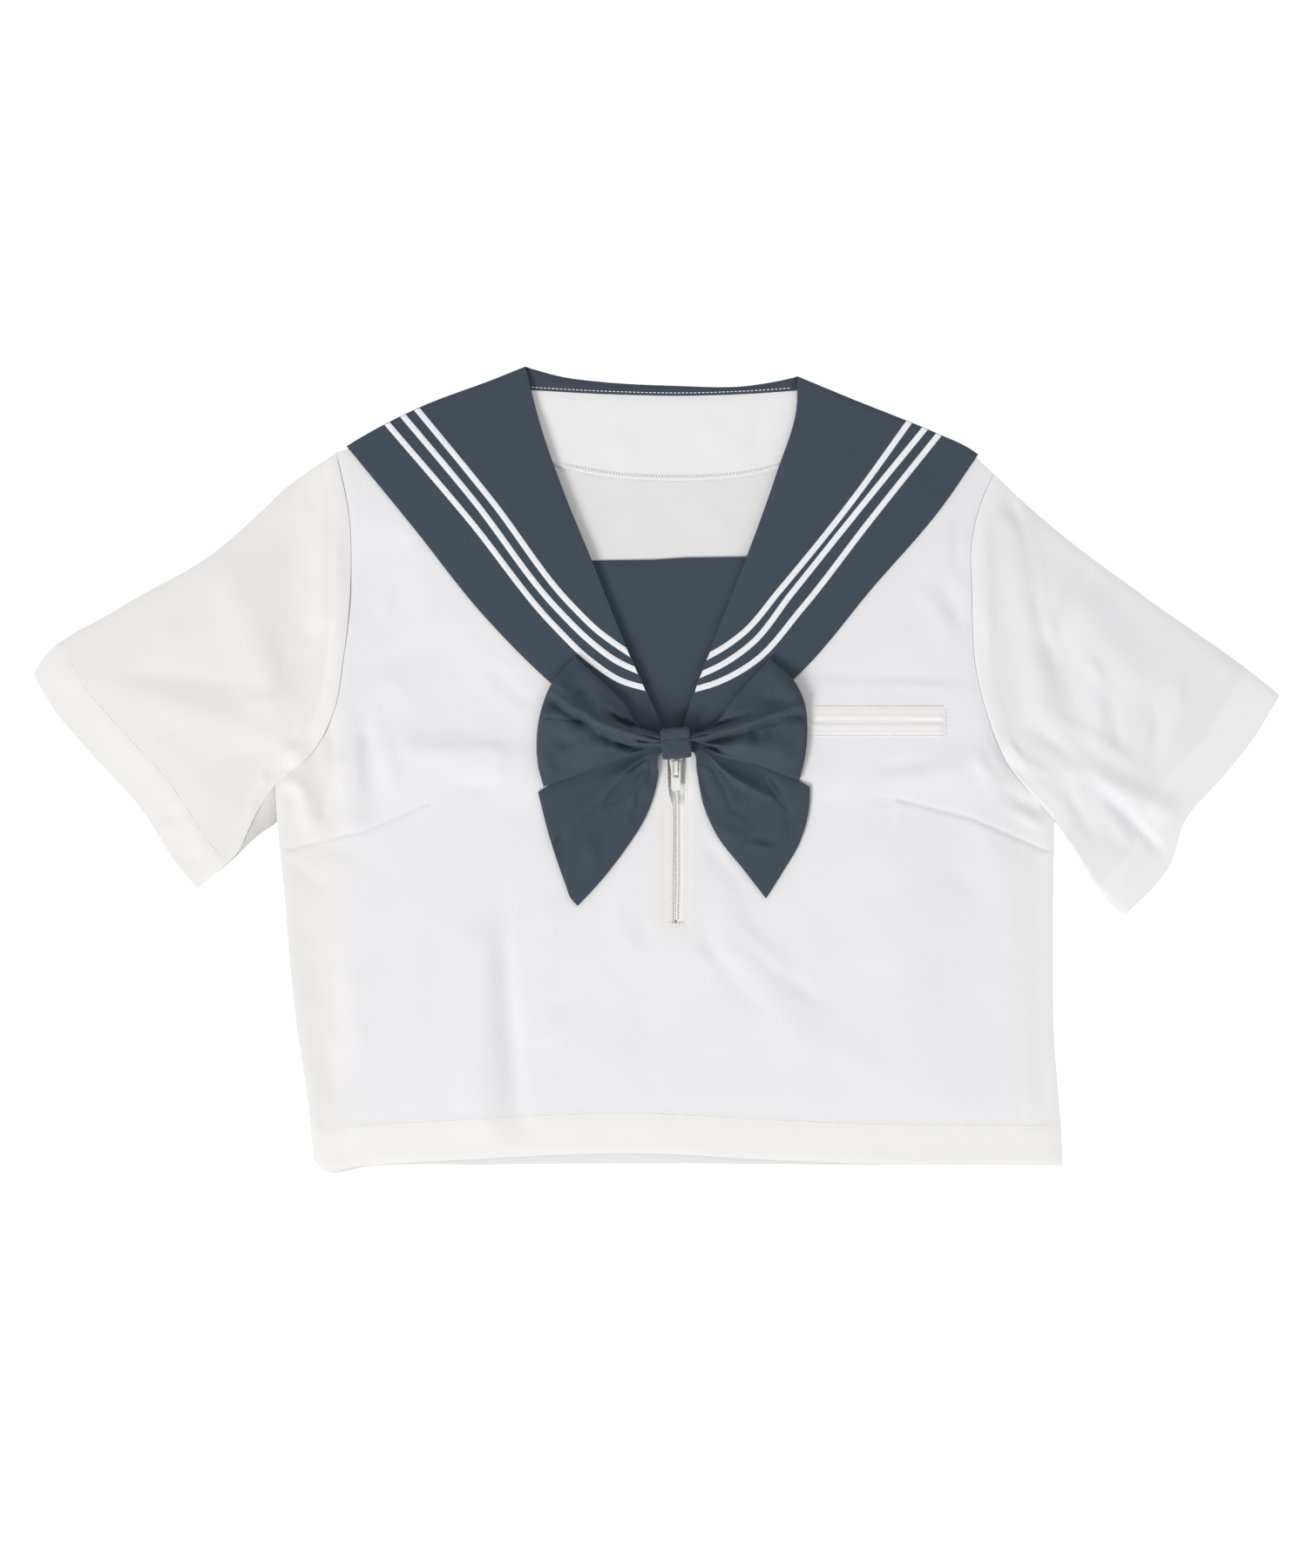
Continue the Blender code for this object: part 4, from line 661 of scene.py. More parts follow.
def ripple(points, size, seed):
    """The slight unevenness of pressed cloth, with waves of about this size."""
    p = np.asarray(points, float).reshape(-1, 2)
    total = np.zeros(len(p))
    for k in range(5):
        angle = 1.1 * k + seed
        wave = size * (0.7 + 0.23 * k)
        phase = (p[:, 0] * math.cos(angle) + p[:, 1] * math.sin(angle)) / wave
        bend = 0.8 * np.sin(p[:, 1] / (1.7 * wave) + seed * 3.1)
        total += np.sin(2.0 * math.pi * phase + bend + 2.3 * seed * k)
    return total / 5.0


def rounded(points, outline):
    """How far the top dips towards a piece's edge."""
    return EDGE_DIP * (1.0 - smoothstep(-distance_to(points, outline) / EDGE_REACH))


def piece(name, points, faces, look, nodes=(), body="garment"):
    """A finished visible piece from points in millimetres. It stands for the given nodes."""
    mesh = bpy.data.meshes.new(name)
    mesh.from_pydata([tuple(p) for p in np.asarray(points, float) * MM], [], faces)
    form = bmesh.new()
    form.from_mesh(mesh)
    bmesh.ops.recalc_face_normals(form, faces=form.faces)
    if form.calc_volume(signed=True) < 0.0:
        bmesh.ops.reverse_faces(form, faces=form.faces)
    form.to_mesh(mesh)
    form.free()
    mesh.shade_smooth()
    mesh.set_sharp_from_angle(angle=math.radians(50.0))
    mesh.materials.append(look)
    made = bpy.data.objects.new(name, mesh)
    bpy.context.scene.collection.objects.link(made)
    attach(made, body)
    if nodes:
        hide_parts(*nodes)
    return made


def closed(outer, inner, faces):
    """The faces of a wall between two matching sets of points, closed round every open edge."""
    uses = {}
    for face in faces:
        for a, b in zip(face, face[1:] + face[:1]):
            uses.setdefault(frozenset((a, b)), []).append((a, b))
    count = len(outer)
    every = list(faces) + [tuple(count + k for k in reversed(face)) for face in faces]
    every += [(b, a, count + a, count + b) for way in uses.values() if len(way) == 1 for a, b in way]
    return np.concatenate([outer, inner]), every


def lattice(outline, spacing):
    """Evenly staggered points inside an outline, clear of its edge."""
    low, high = outline.min(axis=0), outline.max(axis=0)
    step = spacing * math.sqrt(3.0) / 2.0
    spots = []
    for row in np.arange(math.floor(low[1] / step), math.ceil(high[1] / step) + 1):
        x = np.arange(math.floor(low[0] / spacing), math.ceil(high[0] / spacing) + 1) * spacing
        spots.append(np.stack([x + (row % 2) * spacing / 2.0, np.full(len(x), row * step)], axis=1))
    spots = np.concatenate(spots)
    return spots[distance_to(spots, outline) < -0.5 * spacing]


def divided(outline, spacing):
    """A closed outline with points added along its long runs."""
    points = []
    corners = np.array(outline, float)
    for a, b in zip(corners, np.roll(corners, -1, axis=0)):
        count = max(1, round(float(np.linalg.norm(b - a)) / spacing))
        points += [a + (b - a) * k / count for k in range(count)]
    return np.array(points)


def filled(outline, spacing, lines=()):
    """Plan points and triangles that fill an outline, with edges along the given lines."""
    points = [tuple(p) for p in outline]
    links = [(k, (k + 1) % len(outline)) for k in range(len(outline))]
    for line in lines:
        first = len(points)
        points += [tuple(p) for p in line]
        links += [(first + k, first + k + 1) for k in range(len(line) - 1)]
    fixed = np.array(points)
    spots = lattice(outline, spacing)
    keep = np.ones(len(spots), bool)
    for p in fixed:
        keep &= np.abs(spots - p).sum(axis=1) > 0.6 * spacing
    points += [tuple(p) for p in spots[keep]]
    found = delaunay_2d_cdt(points, links, [], 1, 1e-4)
    return np.array([tuple(p) for p in found[0]]), [tuple(face) for face in found[2]]


def cloth(name, outline, spacing, top, look, nodes=(), lines=()):
    """A fine cloth piece: its top follows a height function and rounds off at its edge."""
    fine = divided(outline, spacing)
    plan, faces = filled(fine, spacing, lines)
    height = top(plan)
    dip = rounded(plan, fine)
    below = np.maximum(THIN, dip + 0.2)
    points, every = closed(np.c_[plan, height - dip], np.c_[plan, height - below], faces)
    return piece(name, points, every, look, nodes)


def inside_hem(points):
    """How far points lie below the upper edge of the front's turned-up hem."""
    hem = curve(EDGES["front_hem"])
    return np.interp(points[:, 0], hem[:, 0], hem[:, 1]) + HEM_DEPTH - points[:, 1]


def hem_raise(points):
    """The step of the turned-up hem, with the line of stitches pressed into it."""
    below = inside_hem(points)
    waves = np.sin(points[:, 0] / 2.9 + 1.4 * np.sin(points[:, 0] / 17.0))
    puckers = 0.10 * waves * bell(below - 4.0, 5.0)
    return HEM_EXTRA * smoothstep((below + 0.4) / 1.6) - 0.25 * bell(below - 1.6, 1.2) + puckers


def line_distance(points, line):
    """Distance from each point to an open line."""
    p = np.asarray(points, float)[:, None]
    a = np.asarray(line, float)
    run = a[1:] - a[:-1]
    share = np.clip(np.sum((p - a[:-1]) * run, axis=2) / np.sum(run * run, axis=1), 0.0, 1.0)
    return np.linalg.norm(p - (a[:-1] + share[:, :, None] * run), axis=2).min(axis=1)


def groove(points, line, reach, height):
    """A narrow ridge along a line of points, or a groove where the height is below zero."""
    return height * bell(line_distance(points, line), reach)


def front_surface(points):
    """The top of the front with every crease, its hem, its darts and the zip's stitching lines."""
    height = front_top(points) + hem_raise(points)
    free = smoothstep((distance_to(points, COLLAR_OUTLINE) - 1.0) / 9.0)
    free = free * smoothstep(-distance_to(points, GARMENT_OUTLINE) / 6.0)
    uneven = 0.16 * ripple(points, 46.0, 0.7) + 0.05 * ripple(points, 17.0, 1.9)
    height += free * (crease_height(points, FRONT_CREASES) + uneven)
    for line, deep in ((DART_RIGHT, 0.4), (DART_LEFT, 0.55)):
        height += free * (groove(points, line, 0.9, -deep) + groove(points + (0.0, 2.6), line, 1.8, 0.4))
    below_bow = smoothstep((points[:, 1] - ZIP_END_Y + 3.0) / 2.0) * smoothstep((10.0 - points[:, 1]) / 4.0)
    for x in PLACKET_XS:
        height -= 0.28 * bell(points[:, 0] - x, 0.9) * below_bow
    return height


def zip_lip(side):
    """The front's edge beside the zip, closer to the coil below the slider."""
    lip = edge("slot_" + side, 30)
    inward = ZIP_LIP_INWARD[side] * smoothstep((-16.0 - lip[:, 1]) / 8.0)
    return lip + np.stack([inward, np.zeros(len(lip))], axis=1)


def front_outline():
    return np.concatenate(
        [
            zip_lip("right")[::-1],
            moved(edge("roll_right", 60, 0.02, 0.97), (-150, 120), 0.4),
            moved(edge("shoulder_right", 40, 0.05, 1.0), (0, 0), SHOULDER_INSET),
            edge("armhole_right", 60),
            edge("side_right", 60)[1:-1],
            edge("front_hem", 120),
            edge("side_left", 60)[::-1][1:-1],
            edge("armhole_left", 60)[::-1],
            moved(edge("shoulder_left", 40, 0.05, 1.0), (0, 0), SHOULDER_INSET)[::-1],
            moved(edge("roll_left", 60, 0.02, 0.97), (150, 120), 1.6)[::-1],
            zip_lip("left"),
        ]
    )


def thinned(line, spacing):
    """An outline with its points no closer than this, corners kept."""
    kept = [line[0]]
    for before, p, after in zip(line, line[1:], np.roll(line, -1, axis=0)[1:]):
        a, b = p - before, after - p
        turn = abs(a[0] * b[1] - a[1] * b[0]) > 0.5 * np.linalg.norm(a) * np.linalg.norm(b)
        if turn or np.linalg.norm(p - kept[-1]) >= spacing:
            kept.append(p)
    return np.array(kept)


def make_front(look):
    """The front, with finer points along its hem, its darts and the lines beside the zip."""
    outline = thinned(front_outline(), 2.6)
    hem = edge("front_hem", 130)[1:-1]
    lines = [hem + (0.0, HEM_DEPTH - 1.2), hem + (0.0, HEM_DEPTH + 0.4)]
    along = np.linspace(ZIP_END_Y - 1.0, 4.0, 50)
    sewn = [np.stack([np.full(50, x), along], axis=1) for x in PLACKET_XS]
    lines += [line + (shift, 0.0) for line in sewn for shift in (-0.9, 0.0, 0.9)]
    for dart in (DART_RIGHT, DART_LEFT):
        fine = at_shares(np.array(dart), np.linspace(0.0, 1.0, 50))
        fine = fine[distance_to(fine, outline) < -3.0]
        lines += [fine + (0.0, shift) for shift in (-1.0, 0.0, 1.0)]
    return cloth("front", outline, 3.2, front_surface, look, ["front_panel"], lines)


def back_surface(points):
    inner = smoothstep(-distance_to(points, GARMENT_OUTLINE) / 20.0)
    rise = crease_height(points, BACK_CREASES) + 0.1 * ripple(points, 40.0, 1.3)
    return back_top(points) + 0.25 * inner + inner * np.clip(rise, -0.2, 0.6)


def make_back(look):
    outline = np.concatenate(
        [
            moved(edge("neck_top", 40, 0.03, 0.97), (0, 0), SHOULDER_INSET),
            moved(edge("shoulder_left", 30, 0.04, 1.0), (0, 0), SHOULDER_INSET),
            edge("back_armhole_left", 50),
            edge("side_left", 50)[1:-1],
            edge("back_hem", 100)[::-1],
            edge("side_right", 50, 0.22, 1.0)[::-1][1:-1],
            edge("back_armhole_right", 50)[::-1],
            moved(edge("shoulder_right", 30, 0.04, 1.0), (0, 0), SHOULDER_INSET)[::-1],
        ]
    )
    outline = thinned(outline, 4.0)
    fine = divided(outline, 5.0)
    plan, faces = filled(fine, 5.0)
    top = back_surface(plan) - 0.5 * rounded(plan, fine)
    points, every = closed(np.c_[plan, top], np.c_[plan, back_bottom(plan)], faces)
    return piece("back", points, every, look, ["back_panel"])


def make_inlays(white, slate):
    """What lies between back and front: the facing, the insert and the zip's tapes."""
    seam = edge("band_seam", 50) - (0.0, 0.15)
    edge_line = edge("facing_hem", 60)
    facing = np.concatenate([edge_line, FACING_ENDS[:1], seam[::-1], FACING_ENDS[1:]])

    def facing_surface(points):
        height = inlay_top(points) + np.clip(crease_height(points, FACING_CREASES), -0.5, 0.3)
        return height + groove(points, edge_line, 2.2, 0.25) + 0.08 * ripple(points, 21.0, 2.2)

    def insert_surface(points):
        turned_edge = smoothstep((points[:, 1] - 112.0) / 3.0)
        return inlay_top(points) + 0.1 * ripple(points, 38.0, 0.4) + 0.15 * turned_edge

    insert = np.array(INSERT)
    made = [
        cloth("neck_facing_cloth", facing, 3.0, facing_surface, white, ["neck_facing"]),
        cloth("chest_insert_cloth", insert, 4.0, insert_surface, slate, ["chest_insert"]),
    ]
    for side, way in (("right", -1.0), ("left", 1.0)):
        y = np.concatenate([np.linspace(ZIP_END_Y - 4.0, -14.0, 30), np.linspace(-12.0, ZIP_TOP_Y, 14)])
        near = ZIP_TAPE_GAP + (ZIP_PARTED - ZIP_TAPE_GAP) * smoothstep((y + 12.0) / 6.0)
        inner = np.stack([ZIP_X + way * near, y], axis=1)
        outer = np.stack([np.full(len(y), ZIP_X + way * ZIP_TAPE_WIDTH), y], axis=1)
        outline = thinned(np.concatenate([inner, outer[::-1]]), 1.0)
        name = "zip_tape_cloth_" + side
        made.append(cloth(name, outline, 1.6, zip_tape_top, white, ["zip_tape_" + side]))
    return made


def zip_lift(y):
    """How far the closed zip rises below the slider."""
    return ZIP_LIFT * smoothstep((-15.0 - np.asarray(y, float)) / 8.0)


def zip_tape_top(points):
    return inlay_top(points) + zip_lift(points[:, 1])


def patch(first_edge, last_edge, start, end, shares):
    """Points that fill four edges: rows run from start to end, columns from first_edge to last_edge."""
    u = np.linspace(0.0, 1.0, len(start))[None, :, None]
    v = np.asarray(shares)[:, None, None]
    across = (1 - u) * first_edge[:, None] + u * last_edge[:, None]
    along = (1 - v) * start[None] + v * end[None]
    corners = (1 - v) * ((1 - u) * start[0] + u * start[-1]) + v * ((1 - u) * end[0] + u * end[-1])
    return across + along - corners


def sleeve_layer(side, armhole_name, under_name, rows, columns):
    fold, under = edge("sleeve_fold_" + side, rows), edge(under_name, rows)
    outward = math.copysign(400.0, fold[-1, 0])
    armhole = moved(edge(armhole_name, columns), (outward, 0.0), 0.2)
    fold[0], under[0] = armhole[0], armhole[-1]
    return patch(fold, under, armhole, edge("cuff_" + side, columns), np.linspace(0.0, 1.0, rows))


def sleeve_surface(points, side):
    """The top of a sleeve: creases, the raised seam at the armhole and the cuff's hem."""
    armhole, cuff = edge("armhole_" + side, 40), edge("cuff_" + side, 30)
    from_cuff = line_distance(points, cuff)
    from_armhole = line_distance(points, armhole)
    free = smoothstep(-distance_to(points, GARMENT_OUTLINE) / 6.0)
    creases = SLEEVE_CREASE_SHARE * crease_height(points, SLEEVE_CREASES[side])
    height = front_top(points) + free * (creases + 0.14 * ripple(points, 42.0, 1.1))
    height += 0.38 * smoothstep((from_armhole - 0.2) / 1.6) * (1.0 - smoothstep((from_armhole - 7.0) / 5.0))
    inside = CUFF_DEPTH - from_cuff
    return height + HEM_EXTRA * smoothstep((inside + 0.4) / 1.6) - 0.2 * bell(inside - 1.6, 1.2)


def make_sleeve(side, look, rows=72, columns=80):
    """A flattened sleeve tube, its cloth rounding over the upper fold and the underarm."""
    front_under, back_under = UNDERARMS[side]
    front = sleeve_layer(side, "armhole_" + side, front_under, rows, columns)
    back = sleeve_layer(side, "back_armhole_" + side, back_under, rows, columns // 2)
    front_z = sleeve_surface(front.reshape(-1, 2), side).reshape(rows, columns)
    back_z = back_bottom(back.reshape(-1, 2)).reshape(rows, columns // 2)
    back_in = back_top(back.reshape(-1, 2)).reshape(rows, columns // 2)
    outer, inner = [], []
    dip = 0.9 * np.exp(-np.minimum(np.arange(columns), np.arange(columns)[::-1]) / 1.1)
    for r in range(rows):
        top = np.c_[front[r], front_z[r] - dip]
        top_in = np.c_[front[r], front_z[r] - dip - THIN]
        low = np.c_[back[r], back_z[r]]
        low_in = np.c_[back[r], np.minimum(back_in[r], back_z[r] + THIN)]
        for line in (top_in, low_in):
            for end, inward in ((0, 1), (-1, -2)):
                way = line[inward, :2] - line[end, :2]
                line[end, :2] += way / np.linalg.norm(way) * 0.8
        outer.append(np.concatenate([top, low[::-1]]))
        inner.append(np.concatenate([top_in, low_in[::-1]]))
    faces = grid_faces(rows, len(outer[0]), ring=True)
    points, every = closed(np.concatenate(outer), np.concatenate(inner), faces)
    return piece("sleeve_cloth_" + side, points, every, look, ["sleeve_" + side])


def grid_faces(rows, columns, ring=False):
    """Quads of a grid of points. A ring also joins its last column to its first."""
    faces = []
    for first in range(0, (rows - 1) * columns, columns):
        for a in range(columns if ring else columns - 1):
            b = (a + 1) % columns
            faces.append((first + a, first + b, first + columns + b, first + columns + a))
    return faces


def strip(first, second):
    """Quads between two runs of point numbers of the same length."""
    return [(a, b, d, c) for a, b, c, d in zip(first, first[1:], second, second[1:])]


def collar_surface(points):
    free = smoothstep(-distance_to(points, COLLAR_OUTLINE) / 8.0)
    # Painted shadow: below the lapels' ends the slate cloth runs on, lowered, as a dark sheet where the
    # loops cast shadow
    turned_in_and_shadow_sheet = 1.3 * smoothstep((LAPEL_END_Y - points[:, 1]) / 0.9)
    creases = crease_height(points, COLLAR_CREASES) + 0.07 * ripple(points, 52.0, 2.6)
    return lapel_top(points) + free * creases - turned_in_and_shadow_sheet


def make_collar(look, stations=61):
    """Two lapels, the band inside the neck and the back flap, folded over the shoulder edge."""
    last = stations - 1
    right, left = (edge("shoulder_" + side, stations) for side in ("right", "left"))
    folded = np.concatenate([right[::-1], edge("neck_top", stations)[1:-1], left])
    rim = moved(folded, (0, 0), FOLD_ROUND)
    neck = rim[last : 2 * last + 1]
    shoulders = {"right": rim[last::-1], "left": rim[2 * last :]}
    parts = []
    for side in ("right", "left"):
        lapel, roll = edge("lapel_" + side, 90)[1:], edge("roll_" + side, 90)[:-1]
        outline = np.concatenate([shoulders[side], lapel, np.array(LAPEL_ENDS[side]), roll])
        parts.append((outline, collar_surface, 4.0, True))
    parts.append((np.concatenate([neck, edge("band_seam", 60)[::-1]]), band_top, 4.0, True))
    parts.append((np.concatenate([rim, np.array(FLAP_CORNERS)]), flap_outside, 12.0, False))
    outer, inner, faces, first = [], [], [], []
    for outline, top, spacing, dips in parts:
        plan, triangles = filled(outline, spacing)
        start = sum(len(part) for part in outer)
        first.append(start)
        height = top(plan)
        if dips:
            height = height - EDGE_DIP * bell(line_distance(plan, outline[last:]), 1.6)
        outer.append(np.c_[plan, height])
        inner.append(np.c_[plan, height - COLLAR_WALL if dips else np.full(len(plan), COLLAR_WALL)])
        faces += [tuple(start + k for k in face) for face in triangles]

    # The fold runs from the top layers, round the shoulder edge and down to the flap
    top = lapel_top(rim)
    top[last + 1 : 2 * last] = band_top(rim[last + 1 : 2 * last])
    bulge = moved(rim, (0, 0), -0.75)
    start = sum(len(part) for part in outer)
    count = len(rim)
    for plan, drop in ((bulge, 0.35), (folded, 1.1)):
        outer.append(np.c_[plan, top - drop])
        inner.append(np.c_[rim, top - COLLAR_WALL - drop])
    for plan, rise in ((folded, 1.1), (bulge, 0.35)):
        outer.append(np.c_[plan, np.full(count, rise)])
        inner.append(np.c_[rim, np.full(count, rise + 0.7)])
    rings = [list(range(start + k * count, start + (k + 1) * count)) for k in range(4)]
    lapel_right, lapel_left, band, flap = (list(range(k, k + count)) for k in first)
    for upper, lower in zip(rings, rings[1:] + [flap]):
        faces += strip(upper, lower)
    faces += strip(lapel_right[last::-1], rings[0][: last + 1])
    faces += strip(band[: last + 1], rings[0][last : 2 * last + 1])
    faces += strip(lapel_left[: last + 1], rings[0][2 * last :])
    points, every = closed(np.concatenate(outer), np.concatenate(inner), faces)
    return piece("collar_cloth", points, every, look, ["collar"])


def make_tape(name, look, stations=240):
    """A braided tape: a low arched strip with a plaited edge, cut along the lapel's edges."""
    outline = LAPEL_OUTLINES[name.split("_")[1]]
    fine = at_shares(curve(TAPES[name]), np.linspace(0.0, 1.0, 900))
    run = np.gradient(fine, axis=0)
    run /= np.linalg.norm(run, axis=1, keepdims=True)
    side = np.stack([-run[:, 1], run[:, 0]], axis=1)
    along = length_along(fine)
    across = np.array([-1.0, -0.78, -0.4, 0.0, 0.4, 0.78, 1.0])
    rows = []
    for number, share in enumerate(across):
        plait = 1.0 + 0.05 * np.sin(2.0 * math.pi * along / 1.5 + number)
        track = fine + side * (share * 0.53 * TAPE_WIDTH * plait)[:, None]
        kept = track[distance_to(track, outline) < -TAPE_INSET]
        rows.append(at_shares(kept, np.linspace(0.0, 1.0, stations)))
    plan = np.stack(rows, axis=1)
    run_on = np.linspace(0.0, along[-1], stations)[:, None]
    arch = 0.38 * (1.0 - 0.6 * across**2)
    braid = 0.12 * np.sin(2.0 * math.pi * (run_on / 1.5 + np.abs(across)[None, :]))
    base = collar_surface(plan.reshape(-1, 2)).reshape(plan.shape[:2])
    top = np.dstack([plan, base + 0.22 + arch + braid])
    low = np.dstack([plan, base - 0.05])
    points, every = closed(top.reshape(-1, 3), low.reshape(-1, 3), grid_faces(stations, len(across)))
    return piece("tape_" + name, points, every, look, ["collar_tape_" + name])


# Folds of the bow's loops and tails, in the same form as the other creases
LOOP_CREASES = {
    "right": (
        Crease(12, 17.0, -32, 26.5, -61, 44.6, 3.4, 3.0, 6.5),
        Crease(-67, 44.0, -53.5, 35.2, -38, 26.2, -2.8, 2.4, 5.0),
        Crease(-30, 36.4, -21, 28.4, -8, 24.6, -3.6, 2.2, 2.8),
        Crease(-14, 26.8, -4.7, 23.0, 4, 21.0, -2.6, 1.8, 1.8),
        Crease(-49, 49.5, -43.5, 45.1, -37, 38.5, -1.6, 6.0, 6.0),
        Crease(9, 14.6, -12.2, 13.0, -29, 18.2, -2.6, 3.2, 1.6),
        Crease(-24, 17.0, -32.3, 20.4, -42, 21.3, -1.4, 5.0, 3.0),
        Crease(-50, 13.2, -58.5, 16.3, -66, 13.6, -1.3, 6.0, 6.0),
        Crease(9, 12.8, -19.7, 8.8, -48, 2.0, 1.3, 2.4, 3.0),
        Crease(8, 16.0, -4.7, 16.5, -14, 17.8, -1.3, 0.9, 0.9),
        Crease(8, 17.6, -3.0, 19.0, -12, 21.6, -1.4, 0.9, 1.0),
        Crease(8, 11.6, -6.0, 10.4, -18, 6.4, -1.2, 0.9, 0.9),
        Crease(-74, 31.8, -57.3, 30.4, -40, 28.0, -0.5, 0.9, 0.9),
        Crease(-52, 62, -58, 54, -62, 48, 0.9, 6.0, 6.0),
        Crease(-64, 10, -66, 0, -62, -8, 0.8, 5.0, 5.0),
    ),
    "left": (
        Crease(14, 20.6, 35.3, 26.0, 56, 33.8, -3.8, 1.9, 1.9),
        Crease(14, 17.0, 47.8, 24.6, 92, 38.4, 3.3, 5.0, 2.4),
        Crease(15, 15.4, 36.5, 18.3, 58, 24.2, -2.5, 1.5, 3.8),
        Crease(54, 25.0, 69.1, 30.0, 84, 35.8, -2.5, 1.5, 3.8),
        Crease(55, 22.4, 64, 22.4, 73, 24.0, -1.5, 4.0, 6.0),
        Crease(79, 32.6, 85.3, 32.4, 93, 32.0, -1.3, 3.0, 4.0),
        Crease(16, 16.4, 31.0, 13.6, 41, 10.6, -2.8, 1.2, 1.8),
        Crease(16, 14.6, 37.8, 8.2, 57, 3.6, 1.2, 2.4, 2.0),
        Crease(46, 13.8, 65.3, 11.3, 86, 6.0, 1.6, 8.0, 7.0),
        Crease(15, 18.2, 25, 19.6, 34, 22.0, -1.3, 0.9, 0.9),
        Crease(15, 12.6, 27, 8.8, 42, 4.4, -1.5, 0.9, 1.2),
        Crease(70, 30.0, 81, 32.2, 91.6, 32.9, -0.5, 0.9, 0.9),
        Crease(66, 61, 77.8, 51.4, 87, 42.0, 1.1, 6.0, 6.0),
        Crease(60, 46, 68, 42, 78, 42, -0.8, 5.0, 5.0),
    ),
}
TAIL_CREASES = {
    "right": (
        Crease(-4, 8.5, -27.2, -12.4, -61, -43.0, 2.4, 2.6, 10.0),
        Crease(-6, 5.0, -19.7, -6.6, -31, -21.0, -2.2, 5.0, 2.0),
        Crease(-3, 7.6, -12.2, 2.4, -21, -5.4, -1.8, 1.3, 1.3),
        Crease(-58.5, -38.0, -59.7, -46.2, -58.5, -57.0, -1.6, 4.0, 2.0),
        Crease(-0.4, 7.6, -1.6, 0.1, -4.0, -8.0, -2.0, 2.6, 2.6),
        Crease(-6, 3.0, -12.2, -11.2, -18, -24.0, 1.2, 3.0, 3.0),
        Crease(-6.5, -17.0, -11, -24.9, -15.6, -34.0, -1.2, 3.0, 3.0),
        Crease(-46, -40.0, -39.8, -56.2, -46, -72.0, 0.9, 8.0, 8.0),
    ),
    "left": (
        Crease(22, 11.4, 35.3, 2.8, 46, -12.4, -3.2, 1.7, 4.2),
        Crease(22, 13.0, 44, -3.9, 70, -18.4, 2.6, 4.0, 2.2),
        Crease(60, 3.0, 70.3, -7.4, 81.6, -26.0, -2.2, 2.2, 3.2),
        Crease(43, -9.8, 51.5, -19.9, 59, -32.0, -1.9, 6.0, 7.0),
        Crease(38.5, -35.0, 52.8, -43.7, 70, -49.4, 0.7, 5.0, 5.0),
        Crease(52, -44.3, 62.8, -43.5, 75, -45.0, -0.8, 3.0, 3.0),
        Crease(26, 4.0, 29, -8.7, 35, -22.0, -0.8, 3.0, 3.0),
        Crease(80, -26.0, 82.8, -36.2, 81, -48.0, -0.9, 5.0, 4.0),
    ),
}


def bow_plan(kind, side, rows, columns):
    shares = np.linspace(0.0, 1.0, rows) ** 1.15
    upper = at_shares(curve(EDGES[kind + "_top_" + side]), shares)
    lower = at_shares(curve(EDGES[kind + "_base_" + side]), shares)
    start = np.linspace(upper[0], lower[0], columns)
    return patch(upper, lower, start, edge(kind + "_end_" + side, columns), shares), shares


def make_loop(side, look, rows=84, columns=80):
    """A bow loop: a flat tube of cloth, gathered where it enters the knot and full further out."""
    plan, u = bow_plan("loop", side, rows, columns)
    flat = plan.reshape(-1, 2)
    v = np.linspace(0.0, 1.0, columns)
    base = bow_level(flat, 1).reshape(rows, columns)
    fullness = (LOOP_PUFF_KNOT, 3.0, LOOP_PUFF_MIDDLE, LOOP_PUFF_END + 0.6, LOOP_PUFF_END)
    puff = np.interp(u, (0.0, 0.12, 0.5, 0.9, 1.0), fullness)
    rim = np.minimum(v, 1.0 - v)
    crown = 0.28 + 0.72 * smoothstep(rim / 0.28)
    least = base + THIN + 0.3
    from_knot = smoothstep((distance_to(flat, KNOT_OUTLINE) + 3.0) / 4.0)
    folds = (LOOP_FOLD_SHARE * from_knot * crease_height(flat, LOOP_CREASES[side])).reshape(rows, columns)
    top = least + BOW_CLOTH + puff[:, None] * crown[None, :] + folds
    top += 0.12 * ripple(flat, 19.0, 0.9).reshape(rows, columns)
    drop = bell(np.minimum(rim[None, :] * 75.0, (1.0 - u)[:, None] * 90.0), 1.6)
    top = np.maximum(top, least + 0.35)
    top = top * (1.0 - drop) + (0.55 * top + 0.45 * (base + 0.8)) * drop
    outer_top, outer_low = np.dstack([plan, top]), np.dstack([plan, base])
    inner_top, inner_low = outer_top - (0.0, 0.0, THIN), outer_low + (0.0, 0.0, THIN)
    inner_low[:, :, 2] = np.minimum(inner_low[:, :, 2], inner_top[:, :, 2] - 0.15)
    centre = plan.mean(axis=1, keepdims=True)
    for grid in (inner_top, inner_low):
        grid[:, :, :2] = centre + (grid[:, :, :2] - centre) * 0.985
    outer = np.concatenate([outer_top, outer_low[:, ::-1]], axis=1)
    inner = np.concatenate([inner_top, inner_low[:, ::-1]], axis=1)
    around = 2 * columns
    faces = grid_faces(rows, around, ring=True)
    last = (rows - 1) * around
    for a in range(last, last + columns - 1):
        b = 2 * last + around - 1 - a
        faces.append((a, a + 1, b - 1, b))
    points, every = closed(outer.reshape(-1, 3), inner.reshape(-1, 3), faces)
    return piece("loop_cloth_" + side, points, every, look, ["bow_loop_" + side])


